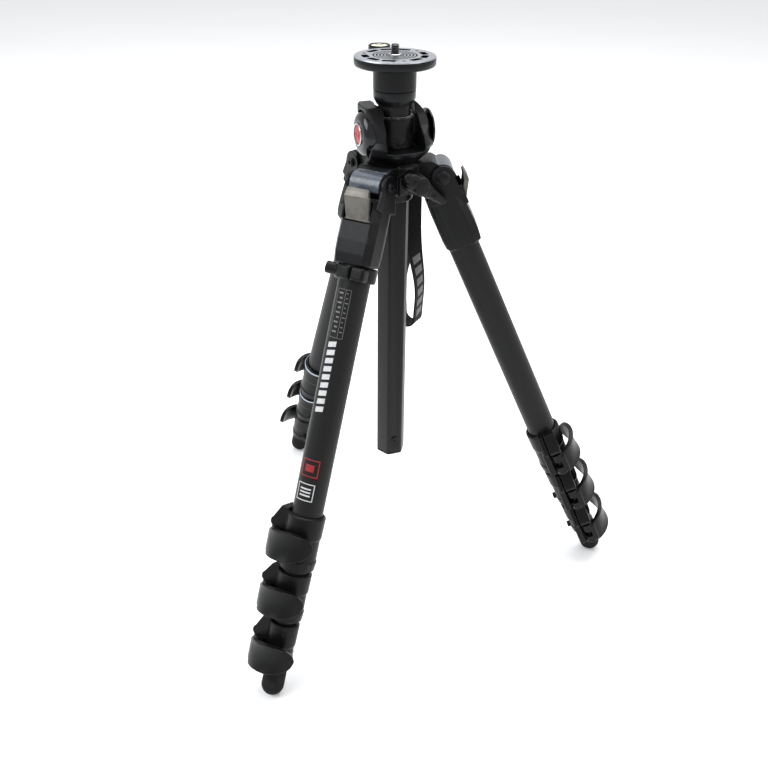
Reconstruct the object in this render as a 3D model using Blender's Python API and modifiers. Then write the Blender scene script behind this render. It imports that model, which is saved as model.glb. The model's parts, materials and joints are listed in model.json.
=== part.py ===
"""Compact four-section camera tripod with a swinging centre column, standing on its first leg stop.

Metres, +Z up. The column runs up the Z axis of the tripod, and the legs stand at 0, 120 and 240 degrees
around it, with leg b along +X. Everything hangs off one empty, which shifts the tripod so that the middle of
its footprint is the origin.

A leg is built in its own frame, whose origin lies on the leg's pivot: x points outwards, y runs along the
pivot bolt and z points up the leg. "Down" is a distance below the pivot, measured along the leg.
"""

import math

import bmesh
import bpy
from mathutils import Matrix, Vector

# --- driving dimensions ---------------------------------------------------------------------------------
FOOTPRINT_SHIFT = (-0.0475, 0.0007)
GAP = 0.0003

LEGS = {"a": 240.0, "b": 0.0, "c": 120.0}
LEG_LEAN = math.radians(24.45)
PIVOT_RADIUS = 0.0370
TUBE_INSET = 0.0064

TUBE_RADII = [0.0125, 0.0106, 0.0087, 0.0068]
TUBE_WALL = 0.0013
TUBE_TOP = 0.0146
TUBE_TOP_STEP = 0.0017
TUBE_SIDES = 20

# each lock: the collar's top and bottom, its radius, and the middle of its lever
LOCKS = [
    {"top": 0.2595, "bottom": 0.3050, "radius": 0.0153, "lever": 0.2880},
    {"top": 0.3082, "bottom": 0.3490, "radius": 0.0136, "lever": 0.3345},
    {"top": 0.3522, "bottom": 0.3890, "radius": 0.0120, "lever": 0.3813},
]
LOCK_BUSH = 0.0080

LEVER_HEIGHT = 0.0240
LEVER_ROOT_HEIGHT = 0.0226
LEVER_ROOT_RADIUS = 0.0052
LEVER_ARC_RADIUS = 0.0245
LEVER_THICKNESS = 0.0030
LEVER_ARC_CENTRE = (-0.0050, 0.0205)
LEVER_ARC_FROM = math.radians(-64.0)
LEVER_ARC_WIDEST = math.radians(-8.0)
LEVER_ARC_TO = math.radians(51.0)
LEVER_RISE = 0.0070
LEVER_PIN_OUT = 0.0040
LEVER_PIN_CLEAR = 0.0062
LEVER_PIN_RADIUS = 0.0020

FOOT_RADIUS = 0.00935
FOOT_TOP = 0.3898
FOOT_TIP = 0.4173
FOOT_SOCKET = 0.0140

KNUCKLE_RADIUS = 0.0113
KNUCKLE_HALF = 0.0134
EAR_INNER = 0.0138
EAR_OUTER = 0.0164
EAR_RADIUS = 0.0082
BOLT_RADIUS = 0.0030
BOLT_HEAD_RADIUS = 0.0052
BOLT_HEAD_OUTER = 0.0194
CASTING_TOP = 0.0118
CASTING_BOTTOM = 0.0600
CASTING_INNER = 0.0143
CASTING_OUTER = 0.0164
CASTING_CORNER = 0.0075

SELECTOR_HINGE = (0.0080, -0.0272)
SELECTOR_FOLD = (0.0090, 0.0163)
SELECTOR_TIP = (0.0080, 0.0222)
SELECTOR_HALF_WIDTH = 0.0100
SELECTOR_THICKNESS = 0.0015

HUB_RADIUS = 0.0220
HUB_TOP = 0.3950
HUB_BOTTOM = 0.3780
ARM_BOTTOM = 0.3728
SKIRT_RADIUS = 0.0156
SKIRT_BOTTOM = 0.3630
COLUMN_BORE = 0.0137

HEAD_TURN = math.radians(20.0)
COLUMN_TURN = math.radians(-12.5)
YOKE_RADIUS = 0.0303
YOKE_BORE = 0.0152
YOKE_FLOOR = 0.4045
YOKE_TOP = 0.4395
YOKE_FRONT = [
    (-0.0020, 0.4395),
    (-0.0070, 0.4360),
    (-0.0134, 0.4310),
    (-0.0194, 0.4255),
    (-0.0240, 0.4190),
    (-0.0267, 0.4130),
    (-0.0298, 0.4045),
]
YOKE_BACK_SET = 0.0090
SWING_HEIGHT = 0.4145
POD_FACE = 0.0260
CAP_RADIUS = 0.0150
MEDALLION_RADIUS = 0.0083
SLEEVE_RADIUS = 0.0149
SLEEVE_TOP = 0.4276

COLUMN_APOTHEM = 0.0114
COLUMN_INNER_RADIUS = 0.0098
COLUMN_BOTTOM = 0.1231
COLUMN_TOP = 0.4375
END_CAP_RIM = 0.0022
END_BUTTON_HEIGHT = 0.1388
END_BUTTON_RADIUS = 0.0031

COLLAR_RADIUS = 0.0158
COLLAR_SEAM = 0.4452
NECK_RADIUS = 0.0100
PLATE_RADIUS = 0.0300
PLATE_BOTTOM = 0.4621
PLATE_TOP = 0.4691
STUD_RADIUS = 0.00318
STUD_TOP = 0.4766
LEVEL_AZIMUTH = math.radians(106.0)
LEVEL_RADIUS = 0.0390
LEVEL_HOUSING_RADIUS = 0.0084
LEVEL_VIAL_RADIUS = 0.0071
LEVEL_TOP = 0.4700

LOCK_KNOB_AZIMUTH = math.radians(300.0)
LOCK_KNOB_HEIGHT = 0.3825
LOCK_KNOB_TILT = math.radians(-33.0)

STRAP_AZIMUTH = math.radians(60.0)
STRAP_RADIUS = 0.0335
STRAP_WIDTH = 0.0150
STRAP_THICKNESS = 0.0016
STRAP_LOOP_RADIUS = 0.0090
STRAP_TOP = 0.3725
STRAP_BOTTOM = 0.2370

ACCESSORY_TOP = 0.0606
ACCESSORY_BOTTOM = 0.0720
ACCESSORY_RADIUS = 0.0160

foot_centre_down = FOOT_TIP - FOOT_RADIUS
PIVOT_HEIGHT = (
    FOOT_RADIUS + foot_centre_down * math.cos(LEG_LEAN) + TUBE_INSET * math.sin(LEG_LEAN)
)


# --- scene ----------------------------------------------------------------------------------------------
def clear_scene():
    for obj in list(bpy.data.objects):
        bpy.data.objects.remove(obj, do_unlink=True)


def new_collection(name):
    collection = bpy.data.collections.new(name)
    bpy.context.scene.collection.children.link(collection)
    return collection


def new_material(name, colour, roughness, metallic=0.0):
    material = bpy.data.materials.new(name)
    material.use_nodes = True
    shader = material.node_tree.nodes["Principled BSDF"]
    shader.inputs["Base Color"].default_value = (*colour, 1.0)
    shader.inputs["Roughness"].default_value = roughness
    shader.inputs["Metallic"].default_value = metallic
    return material


clear_scene()
TRIPOD = new_collection("camera_tripod")
HELPERS = new_collection("helpers")
MATERIALS = {
    "tube": new_material("carbon_tube", (0.035, 0.036, 0.038), 0.45),
    "casting": new_material("black_casting", (0.030, 0.031, 0.034), 0.42, 0.3),
    "lock": new_material("black_plastic", (0.022, 0.022, 0.024), 0.38),
    "pod": new_material("gloss_black", (0.012, 0.012, 0.015), 0.12),
    "plate": new_material("satin_plate", (0.30, 0.31, 0.33), 0.40, 0.7),
    "steel": new_material("steel", (0.62, 0.62, 0.62), 0.28, 1.0),
    "tab": new_material("brushed_tab", (0.50, 0.49, 0.46), 0.35, 1.0),
    "medallion": new_material("red_medallion", (0.62, 0.02, 0.03), 0.25),
    "rubber": new_material("foot_rubber", (0.030, 0.030, 0.030), 0.80),
    "webbing": new_material("webbing", (0.030, 0.030, 0.030), 0.85),
    "vial": new_material("level_vial", (0.75, 0.78, 0.55), 0.10),
}


# --- shape helpers --------------------------------------------------------------------------------------
def helper_object(name, mesh):
    obj = bpy.data.objects.new(name, mesh)
    obj.display_type = "WIRE"
    obj.hide_render = True
    HELPERS.objects.link(obj)
    return obj


def from_bmesh(name, shape):
    mesh = bpy.data.meshes.new(name)
    shape.to_mesh(mesh)
    shape.free()
    return helper_object(name, mesh)


def box(low, high, bevel=0.0, bevel_axis=None):
    """A box from its lowest and highest corners. bevel rounds its edges, or only those along bevel_axis."""
    low, high = Vector(low), Vector(high)
    shape = bmesh.new()
    size = Matrix.Diagonal((*(high - low), 1.0))
    bmesh.ops.create_cube(shape, size=1.0, matrix=Matrix.Translation((low + high) / 2) @ size)
    if bevel:
        edges = [
            edge
            for edge in shape.edges
            if bevel_axis is None
            or abs((edge.verts[0].co - edge.verts[1].co).normalized()[bevel_axis]) > 0.99
        ]
        bmesh.ops.bevel(shape, geom=edges, offset=bevel, segments=3, profile=0.5, affect="EDGES")
    return from_bmesh("box", shape)


def cylinder(radius, start, end, sides=20, tip_radius=None):
    """A cylinder, or a cone, from one point to another."""
    start, end = Vector(start), Vector(end)
    along = end - start
    turn = along.to_track_quat("Z", "Y").to_matrix().to_4x4()
    shape = bmesh.new()
    bmesh.ops.create_cone(
        shape,
        cap_ends=True,
        segments=sides,
        radius1=radius,
        radius2=radius if tip_radius is None else tip_radius,
        depth=along.length,
        matrix=Matrix.Translation((start + end) / 2) @ turn,
    )
    return from_bmesh("cylinder", shape)


def turned(profile, steps=24, closed=False):
    """A turned solid about Z. The profile holds (radius, height) pairs, down the outer side first."""
    mesh = bpy.data.meshes.new("profile")
    points = [(radius, 0.0, height) for radius, height in profile]
    edges = [(i, i + 1) for i in range(len(points) - 1)]
    if closed:
        edges.append((len(points) - 1, 0))
    mesh.from_pydata(points, edges, [])
    obj = helper_object("turned", mesh)
    screw = obj.modifiers.new("Screw", "SCREW")
    screw.steps = screw.render_steps = steps
    screw.use_merge_vertices = True
    screw.merge_threshold = 0.00001
    return baked(obj)


def ring(outer, inner, top, bottom, steps=24):
    return turned([(outer, top), (outer, bottom), (inner, bottom), (inner, top)], steps, closed=True)


def plate(outline, low, high):
    """A flat outline in the XZ plane, extruded along y from low to high."""
    curve = bpy.data.curves.new("outline", "CURVE")
    curve.dimensions = "2D"
    curve.fill_mode = "BOTH"
    curve.extrude = (high - low) / 2
    spline = curve.splines.new("POLY")
    spline.points.add(len(outline) - 1)
    for point, (x, z) in zip(spline.points, outline):
        point.co = (x, z, 0.0, 1.0)
    spline.use_cyclic_u = True
    obj = bpy.data.objects.new("outline", curve)
    HELPERS.objects.link(obj)
    obj.matrix_world = Matrix.Translation((0, (low + high) / 2, 0)) @ Matrix.Rotation(math.pi / 2, 4, "X")
    return baked(obj)


def arc(centre, radius, start, end, steps):
    """Points on an arc, from one angle to another, in degrees."""
    angles = [math.radians(start + (end - start) * i / steps) for i in range(steps + 1)]
    return [(centre[0] + radius * math.cos(a), centre[1] + radius * math.sin(a)) for a in angles]


def baked(obj):
    """The object with its modifiers and its transform applied, as a mesh with merged points."""
    bpy.context.view_layer.update()
    evaluated = obj.evaluated_get(bpy.context.evaluated_depsgraph_get())
    mesh = bpy.data.meshes.new_from_object(evaluated)
    mesh.transform(obj.matrix_world)
    bpy.data.objects.remove(obj, do_unlink=True)
    shape = bmesh.new()
    shape.from_mesh(mesh)
    bmesh.ops.remove_doubles(shape, verts=shape.verts, dist=0.000001)
    loose = [edge for edge in shape.edges if not edge.link_faces]
    bmesh.ops.delete(shape, geom=loose, context="EDGES")
    bmesh.ops.recalc_face_normals(shape, faces=shape.faces)
    shape.to_mesh(mesh)
    shape.free()
    return helper_object("baked", mesh)


def combined(base, add=(), cut=()):
    """The base with other solids joined to it and then cut from it. The others are used up."""
    for operation, tools in (("UNION", add), ("DIFFERENCE", cut)):
        for tool in tools:
            modifier = base.modifiers.new(operation, "BOOLEAN")
            modifier.operation = operation
            modifier.object = tool
    result = baked(base)
    for tool in [*add, *cut]:
        bpy.data.objects.remove(tool, do_unlink=True)
    return result


def moved(obj, matrix):
    obj.data.transform(matrix)
    return obj


def part(name, shape, slot, parent, place=None):
    """Makes a named part from a helper's mesh. Copies of a part may share one mesh."""
    mesh = shape.data if isinstance(shape, bpy.types.Object) else shape
    if not mesh.materials:
        mesh.materials.append(MATERIALS[slot])
        mesh.shade_smooth()
        mesh.set_sharp_from_angle(angle=math.radians(35))
    obj = bpy.data.objects.new(name, mesh)
    TRIPOD.objects.link(obj)
    obj.parent = parent
    obj.matrix_local = place or Matrix.Identity(4)
    if isinstance(shape, bpy.types.Object):
        bpy.data.objects.remove(shape, do_unlink=True)
    return obj


def empty(name, parent, place):
    obj = bpy.data.objects.new(name, None)
    obj.empty_display_size = 0.02
    TRIPOD.objects.link(obj)
    obj.parent = parent
    obj.matrix_local = place
    return obj


def polar(radius, azimuth, height):
    return Vector((radius * math.cos(azimuth), radius * math.sin(azimuth), height))


# --- shapes of one leg, in the leg's frame --------------------------------------------------------------
def down_the_leg(distance, out=0.0, along_bolt=0.0):
    """A point that far below the pivot, measured from the tube's axis."""
    return Vector((out - TUBE_INSET, along_bolt, -distance))


def casting_shape():
    """The upper casting: a rounded sleeve round the tube, closed at its top, with two ears for the bolt."""
    body = box(
        (-TUBE_INSET - CASTING_INNER, -EAR_OUTER, -CASTING_BOTTOM),
        (-TUBE_INSET + CASTING_OUTER, EAR_OUTER, -CASTING_TOP),
        CASTING_CORNER,
        bevel_axis=2,
    )
    ears = []
    for side in (-1, 1):
        outline = arc((0, 0), EAR_RADIUS, -20, 160, 9)
        outline += [(-0.0175, -CASTING_TOP - 0.004), (0.0085, -CASTING_TOP - 0.004)]
        ears.append(plate(outline, *sorted((side * EAR_INNER, side * EAR_OUTER))))
    bore = cylinder(
        TUBE_RADII[0] + GAP,
        down_the_leg(CASTING_BOTTOM + 0.005),
        down_the_leg(TUBE_TOP - GAP),
        TUBE_SIDES,
    )
    bolt_hole = cylinder(BOLT_RADIUS + GAP, (0, -0.03, 0), (0, 0.03, 0), 12)
    half = SELECTOR_HALF_WIDTH + 2 * GAP
    pocket = box(
        (SELECTOR_HINGE[0] - SELECTOR_THICKNESS / 2 - GAP, -half, SELECTOR_HINGE[1] - 0.0012),
        (0.0300, half, -CASTING_TOP + 0.0050),
    )
    return combined(body, ears, [bore, bolt_hole, pocket])


def bolt_shape():
    shaft = cylinder(BOLT_RADIUS, (0, -BOLT_HEAD_OUTER + 0.001, 0), (0, BOLT_HEAD_OUTER - 0.001, 0), 12)
    heads = [
        cylinder(BOLT_HEAD_RADIUS, (0, side * (EAR_OUTER + GAP), 0), (0, side * BOLT_HEAD_OUTER, 0), 12)
        for side in (-1, 1)
    ]
    return combined(shaft, heads)


def selector_outline():
    """Side view of the angle selector, with x outwards and z up from its hinge: it leans out, then folds back."""
    half = SELECTOR_THICKNESS / 2
    fold, tip = Vector(SELECTOR_FOLD), Vector(SELECTOR_TIP)
    face_side = Vector((fold.y, -fold.x)).normalized() * half
    lip = tip - fold
    lip_side = Vector((lip.y, -lip.x)).normalized() * half
    corner = (face_side + lip_side) / (1 + face_side.normalized().dot(lip_side.normalized()))
    points = [face_side, fold + corner, tip + lip_side, tip - lip_side, fold - corner, -face_side]
    return [(point.x, point.y) for point in points]


def tube_ends(index):
    """How far down the leg a tube starts and stops. Each tube but the last stops inside its own collar."""
    top = TUBE_TOP + index * TUBE_TOP_STEP
    if index < len(LOCKS):
        return top, LOCKS[index]["bottom"] - LOCK_BUSH - GAP
    return top, FOOT_TOP + FOOT_SOCKET - GAP


def tube_shape(index):
    radius = TUBE_RADII[index]
    top, bottom = tube_ends(index)
    shape = ring(radius, radius - TUBE_WALL, -top, -bottom, TUBE_SIDES)
    return moved(shape, Matrix.Translation((-TUBE_INSET, 0, 0)))


def lever_pin(lock):
    """Where a lever's pin stands, from the tube's axis: outwards, and along the bolt."""
    return LEVER_PIN_OUT, -(lock["radius"] + LEVER_PIN_CLEAR)


def collar_shape(index):
    """A lock's collar: a clamp ring with a hinge ear, a fixed jaw and the lever's pin."""
    lock = LOCKS[index]
    radius = lock["radius"]
    step_down = lock["bottom"] - LOCK_BUSH
    tube_bore = TUBE_RADII[index] + GAP
    bush_bore = TUBE_RADII[index + 1] + GAP
    body = turned(
        [
            (0.0, -lock["top"]),
            (radius - 0.0006, -lock["top"]),
            (radius, -lock["top"] - 0.0012),
            (radius - 0.0012, -lock["bottom"]),
            (0.0, -lock["bottom"]),
        ],
        TUBE_SIDES,
    )
    out, along = lever_pin(lock)
    lever_top = lock["lever"] - LEVER_ROOT_HEIGHT / 2
    lever_bottom = lock["lever"] + LEVER_ROOT_HEIGHT / 2
    ear = box(
        (-0.0060, along - 0.0058, -lever_top + GAP),
        (0.0095, -radius + 0.0030, -lock["top"] + 0.0020),
        0.0022,
    )
    jaw = box(
        (-0.0080, along - 0.0030, -lever_bottom + 0.0010),
        (-0.0019, -radius + 0.0030, -lever_top + 0.0020),
        0.0012,
    )
    pin = cylinder(LEVER_PIN_RADIUS, (out, along, -lever_top + 0.004), (out, along, -lever_bottom + 0.001), 10)
    bore = turned(
        [
            (0.0, -lock["top"] + 0.01),
            (tube_bore, -lock["top"] + 0.01),
            (tube_bore, -step_down),
            (bush_bore, -step_down),
            (bush_bore, -lock["bottom"] - 0.01),
            (0.0, -lock["bottom"] - 0.01),
        ],
        TUBE_SIDES,
    )
    shape = combined(body, [ear, jaw, pin], [bore])
    return moved(shape, Matrix.Translation((-TUBE_INSET, 0, 0)))


def lever_shape():
    """A lock lever about its pin: a curved oval thumb plate that leaves a round root. Built as a bent sheet."""
    columns, rows = 9, 4
    shape = bmesh.new()
    grid = []
    for i in range(columns + 1):
        angle = LEVER_ARC_FROM + (LEVER_ARC_TO - LEVER_ARC_FROM) * i / columns
        past_widest = max(0.0, (angle - LEVER_ARC_WIDEST) / (LEVER_ARC_TO - LEVER_ARC_WIDEST))
        half = LEVER_HEIGHT / 2 * math.sqrt(max(0.10, 1 - past_widest**2))
        half = min(half, LEVER_ROOT_HEIGHT / 2 + 0.0007 * i)
        x = LEVER_ARC_CENTRE[0] + LEVER_ARC_RADIUS * math.cos(angle)
        y = LEVER_ARC_CENTRE[1] + LEVER_ARC_RADIUS * math.sin(angle)
        middle = LEVER_RISE * i / columns
        grid.append([shape.verts.new((x, y, middle + half * (2 * j / rows - 1))) for j in range(rows + 1)])
    for i in range(columns):
        for j in range(rows):
            shape.faces.new((grid[i][j], grid[i + 1][j], grid[i + 1][j + 1], grid[i][j + 1]))
    bmesh.ops.recalc_face_normals(shape, faces=shape.faces)
    sheet = from_bmesh("lever_sheet", shape)
    solidify = sheet.modifiers.new("Solidify", "SOLIDIFY")
    solidify.thickness = LEVER_THICKNESS
    solidify.offset = 0.0
    sheet = baked(sheet)
    half_root = LEVER_ROOT_HEIGHT / 2
    root = cylinder(LEVER_ROOT_RADIUS, (0, 0, -half_root), (0, 0, half_root), 14)
    bore = cylinder(LEVER_PIN_RADIUS + GAP, (0, 0, -0.02), (0, 0, 0.02), 10)
    return combined(root, [sheet], [bore])


def foot_shape():
    """A round-ended rubber foot with a socket for the last tube."""
    centre = foot_centre_down
    dome = [(-z, r) for r, z in arc((0, 0), FOOT_RADIUS, 0, 90, 5)]
    profile = [(FOOT_RADIUS - 0.0005, -FOOT_TOP), (FOOT_RADIUS, -FOOT_TOP - 0.0006)]
    profile += [(r, z - centre) for z, r in dome]
    socket = TUBE_RADII[-1] + GAP
    floor = -FOOT_TOP - FOOT_SOCKET
    profile[-1] = (0.0, -FOOT_TIP)
    profile += [(0.0, floor), (socket, floor), (socket, -FOOT_TOP)]
    shape = turned(profile, TUBE_SIDES, closed=True)
    return moved(shape, Matrix.Translation((-TUBE_INSET, 0, 0)))


def accessory_ring_shape():
    """A clamp ring under one casting, with a screw boss outside and a round socket to one side."""
    body = cylinder(ACCESSORY_RADIUS, (0, 0, -ACCESSORY_BOTTOM), (0, 0, -ACCESSORY_TOP), TUBE_SIDES)
    middle = -(ACCESSORY_TOP + ACCESSORY_BOTTOM) / 2
    socket = cylinder(0.0047, (0.004, -0.0135, middle), (0.006, -0.0225, middle), 14)
    boss = box((0.0080, 0.0040, -ACCESSORY_BOTTOM), (0.0175, 0.0150, -ACCESSORY_TOP), 0.0015)
    bore = cylinder(TUBE_RADII[0] + GAP, (0, 0, -0.09), (0, 0, -0.05), TUBE_SIDES)
    hollow = cylinder(0.0032, (0.0052, -0.0185, middle), (0.0062, -0.0235, middle), 10)
    shape = combined(body, [socket, boss], [bore, hollow])
    return moved(shape, Matrix.Translation((-TUBE_INSET, 0, 0)))


# --- shapes of the middle, in the tripod's frame --------------------------------------------------------
def shoulder_shape():
    """The hub that carries the legs: a round body, a skirt round the column and three arms with knuckles."""
    body = cylinder(HUB_RADIUS, (0, 0, HUB_BOTTOM), (0, 0, HUB_TOP), 30)
    skirt = cylinder(SKIRT_RADIUS, (0, 0, SKIRT_BOTTOM), (0, 0, HUB_BOTTOM + 0.002), 24)
    add = [skirt]
    cut = []
    for degrees in LEGS.values():
        turn = Matrix.Rotation(math.radians(degrees), 4, "Z")
        arm = box(
            (0.010, -KNUCKLE_HALF, ARM_BOTTOM),
            (PIVOT_RADIUS, KNUCKLE_HALF, PIVOT_HEIGHT + KNUCKLE_RADIUS - 0.0004),
        )
        knuckle = cylinder(
            KNUCKLE_RADIUS,
            (PIVOT_RADIUS, -KNUCKLE_HALF, PIVOT_HEIGHT),
            (PIVOT_RADIUS, KNUCKLE_HALF, PIVOT_HEIGHT),
            24,
        )
        hole = cylinder(BOLT_RADIUS + GAP, (PIVOT_RADIUS, -0.03, PIVOT_HEIGHT), (PIVOT_RADIUS, 0.03, PIVOT_HEIGHT), 12)
        add += [moved(arm, turn), moved(knuckle, turn)]
        cut.append(moved(hole, turn))
    knob_boss = cylinder(
        0.0080,
        polar(0.015, LOCK_KNOB_AZIMUTH, LOCK_KNOB_HEIGHT),
        polar(0.027, LOCK_KNOB_AZIMUTH, LOCK_KNOB_HEIGHT),
        16,
    )
    knob_bore = cylinder(
        0.0033,
        polar(0.018, LOCK_KNOB_AZIMUTH, LOCK_KNOB_HEIGHT),
        polar(0.040, LOCK_KNOB_AZIMUTH, LOCK_KNOB_HEIGHT),
        12,
    )
    lug = box(
        (0.016, -0.0095, STRAP_TOP + GAP),
        (STRAP_RADIUS + STRAP_WIDTH / 2, 0.0095, HUB_TOP - 0.010),
        0.0020,
    )
    add += [knob_boss, moved(lug, Matrix.Rotation(STRAP_AZIMUTH, 4, "Z"))]
    bore = cylinder(COLUMN_BORE, (0, 0, SKIRT_BOTTOM - 0.01), (0, 0, HUB_TOP + 0.01), 24)
    return combined(body, add, [*cut, knob_bore, bore])


def yoke_half(side, profile):
    """One half of the bracket's outside, turned about the column's axis and kept on one side of it."""
    near, far = sorted((-side * 0.0005, -side * 0.05))
    return combined(turned(profile, 36), cut=[box((near, -0.05, 0.38), (far, 0.05, 0.46))])


def yoke_shape():
    """The swing bracket: two cheeks beside the column, cut away in a curve in front and behind."""
    foot = [(0.0300, 0.4070), (0.0262, 0.4005), (0.0215, 0.3965), (0.0205, HUB_TOP + GAP), (0.0, HUB_TOP + GAP)]
    square = [(0.0, YOKE_TOP), (YOKE_RADIUS - 0.0012, YOKE_TOP), (YOKE_RADIUS, YOKE_TOP - 0.0015), (YOKE_RADIUS, 0.4120)]
    crown = arc((0, SWING_HEIGHT), YOKE_RADIUS - 0.0006, 56, 0, 7)
    crown = [(0.0, crown[0][1]), *crown]
    left = yoke_half(-1, square + foot)
    right = yoke_half(1, crown + foot)
    width = YOKE_BORE
    cut = [
        cylinder(YOKE_BORE, (0, 0, YOKE_FLOOR), (0, 0, YOKE_TOP + 0.01), 28),
        box((-width, -0.05, YOKE_FLOOR), (width, 0.05, YOKE_TOP + 0.01)),
        cylinder(COLUMN_BORE, (0, 0, HUB_TOP - 0.01), (0, 0, YOKE_TOP), 24),
    ]
    for side in (-1, 1):
        # the edge drops in a curve from the top of the cheeks to the foot of the cup
        back = YOKE_BACK_SET if side > 0 else 0.0
        edge = [(side * (-y + back * (z - YOKE_FLOOR) / (YOKE_TOP - YOKE_FLOOR)), z) for y, z in YOKE_FRONT]
        outline = [(edge[0][0], YOKE_TOP + 0.004), *edge, (side * 0.0450, YOKE_FLOOR), (side * 0.0450, YOKE_TOP + 0.004)]
        cut.append(moved(plate(outline, -0.04, 0.04), Matrix.Rotation(math.pi / 2, 4, "Z")))
        near, far = sorted((side * POD_FACE, side * 0.05))
        cut.append(box((near, -0.05, 0.39), (far, 0.05, 0.46)))
    shape = combined(left, [right], cut)
    return moved(shape, Matrix.Rotation(HEAD_TURN, 4, "Z"))


def facing_side(side):
    """Turns a shape that is turned about Z so that its axis runs out of one side of the yoke."""
    swing = Matrix.Rotation(HEAD_TURN, 4, "Z") @ Matrix.Translation((0, 0, SWING_HEIGHT))
    return swing @ Matrix.Rotation(side * math.pi / 2, 4, "Y")


def cap_shape(side, recess):
    """A shallow domed cap on one side of the yoke, with a round recess if it holds the medallion."""
    low = POD_FACE + GAP
    profile = [
        (CAP_RADIUS * 0.60, low + 0.0026),
        (CAP_RADIUS * 0.85, low + 0.0019),
        (CAP_RADIUS, low + 0.0005),
        (CAP_RADIUS, low),
    ]
    if recess:
        hole = MEDALLION_RADIUS + GAP
        profile += [(0.0, low), (0.0, low + 0.0008), (hole, low + 0.0008), (hole, low + 0.0028)]
        shape = turned(profile, 28, closed=True)
    else:
        shape = turned([(0.0, low + 0.0029), *profile, (0.0, low)], 28)
    return moved(shape, facing_side(side))


def medallion_shape(side):
    low = POD_FACE + 0.0008 + 2 * GAP
    top = low + 0.0030
    profile = [(0.0, top), (MEDALLION_RADIUS * 0.8, top - 0.0002), (MEDALLION_RADIUS, top - 0.001)]
    shape = turned([*profile, (MEDALLION_RADIUS, low), (0.0, low)], 24)
    return moved(shape, facing_side(side))


def hexagon(radius, bottom, top, bevel):
    """A six-sided bar about Z with rounded corners, turned with the column."""
    shape = bmesh.new()
    place = Matrix.Translation((0, 0, (bottom + top) / 2)) @ Matrix.Rotation(COLUMN_TURN, 4, "Z")
    bmesh.ops.create_cone(
        shape, cap_ends=True, segments=6, radius1=radius, radius2=radius, depth=top - bottom, matrix=place
    )
    upright = [e for e in shape.edges if abs(e.verts[0].co.z - e.verts[1].co.z) > (top - bottom) / 2]
    bmesh.ops.bevel(shape, geom=upright, offset=bevel, segments=2, profile=0.5, affect="EDGES")
    return from_bmesh("hexagon", shape)


def button_axis(radius):
    return polar(radius, COLUMN_TURN - math.pi / 3, END_BUTTON_HEIGHT)


def column_shape():
    """The centre column: a six-sided tube with a hole for the end button."""
    body = hexagon(COLUMN_APOTHEM / math.cos(math.pi / 6), COLUMN_BOTTOM + END_CAP_RIM + GAP, COLUMN_TOP, 0.0014)
    inside = cylinder(COLUMN_INNER_RADIUS, (0, 0, COLUMN_BOTTOM - 0.01), (0, 0, COLUMN_TOP + 0.01), 24)
    hole = cylinder(END_BUTTON_RADIUS + GAP, button_axis(0.005), button_axis(0.020), 12)
    return combined(body, cut=[inside, hole])


def end_cap_shape():
    """The plug in the column's lower end, with a pocket for the button."""
    rim = hexagon(COLUMN_APOTHEM / math.cos(math.pi / 6), COLUMN_BOTTOM, COLUMN_BOTTOM + END_CAP_RIM, 0.0014)
    plug = cylinder(
        COLUMN_INNER_RADIUS - GAP,
        (0, 0, COLUMN_BOTTOM + 0.001),
        (0, 0, END_BUTTON_HEIGHT + 0.008),
        20,
    )
    pocket = cylinder(END_BUTTON_RADIUS + GAP, button_axis(0.0040), button_axis(0.020), 12)
    return combined(rim, [plug], [pocket])


def top_fitting_shape():
    """The fitting on the column's top: a spigot in the tube, a chamfered collar and a neck for the level."""
    profile = [
        (0.0, PLATE_BOTTOM - GAP),
        (NECK_RADIUS, PLATE_BOTTOM - GAP),
        (NECK_RADIUS, COLLAR_SEAM),
        (COLLAR_RADIUS, COLLAR_SEAM),
        (COLLAR_RADIUS, COLLAR_SEAM - 0.0035),
        (0.0128, COLUMN_TOP + GAP),
        (COLUMN_INNER_RADIUS - GAP, COLUMN_TOP + GAP),
        (COLUMN_INNER_RADIUS - GAP, COLUMN_TOP - 0.012),
        (0.0, COLUMN_TOP - 0.012),
    ]
    return turned(profile, 28)


def level_ring_shape():
    """The ring that turns round the neck, with an arm that holds the bubble level beside the plate."""
    body = cylinder(COLLAR_RADIUS, (0, 0, COLLAR_SEAM + GAP), (0, 0, PLATE_BOTTOM - GAP), 28)
    arm = box((0.013, -0.0050, 0.4550), (LEVEL_RADIUS, 0.0050, 0.4612), 0.0012)
    housing = cylinder(LEVEL_HOUSING_RADIUS, (LEVEL_RADIUS, 0, 0.4572), (LEVEL_RADIUS, 0, LEVEL_TOP), 20)
    turn = Matrix.Rotation(LEVEL_AZIMUTH, 4, "Z")
    pocket = cylinder(LEVEL_VIAL_RADIUS + GAP, (LEVEL_RADIUS, 0, LEVEL_TOP - 0.0045), (LEVEL_RADIUS, 0, LEVEL_TOP + 0.01), 16)
    bore = cylinder(NECK_RADIUS + GAP, (0, 0, 0.44), (0, 0, 0.47), 28)
    return combined(body, [moved(arm, turn), moved(housing, turn)], [moved(pocket, turn), bore])


def vial_shape():
    shape = cylinder(LEVEL_VIAL_RADIUS, (LEVEL_RADIUS, 0, LEVEL_TOP - 0.0042), (LEVEL_RADIUS, 0, LEVEL_TOP + 0.0003), 16)
    return moved(shape, Matrix.Rotation(LEVEL_AZIMUTH, 4, "Z"))


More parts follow.
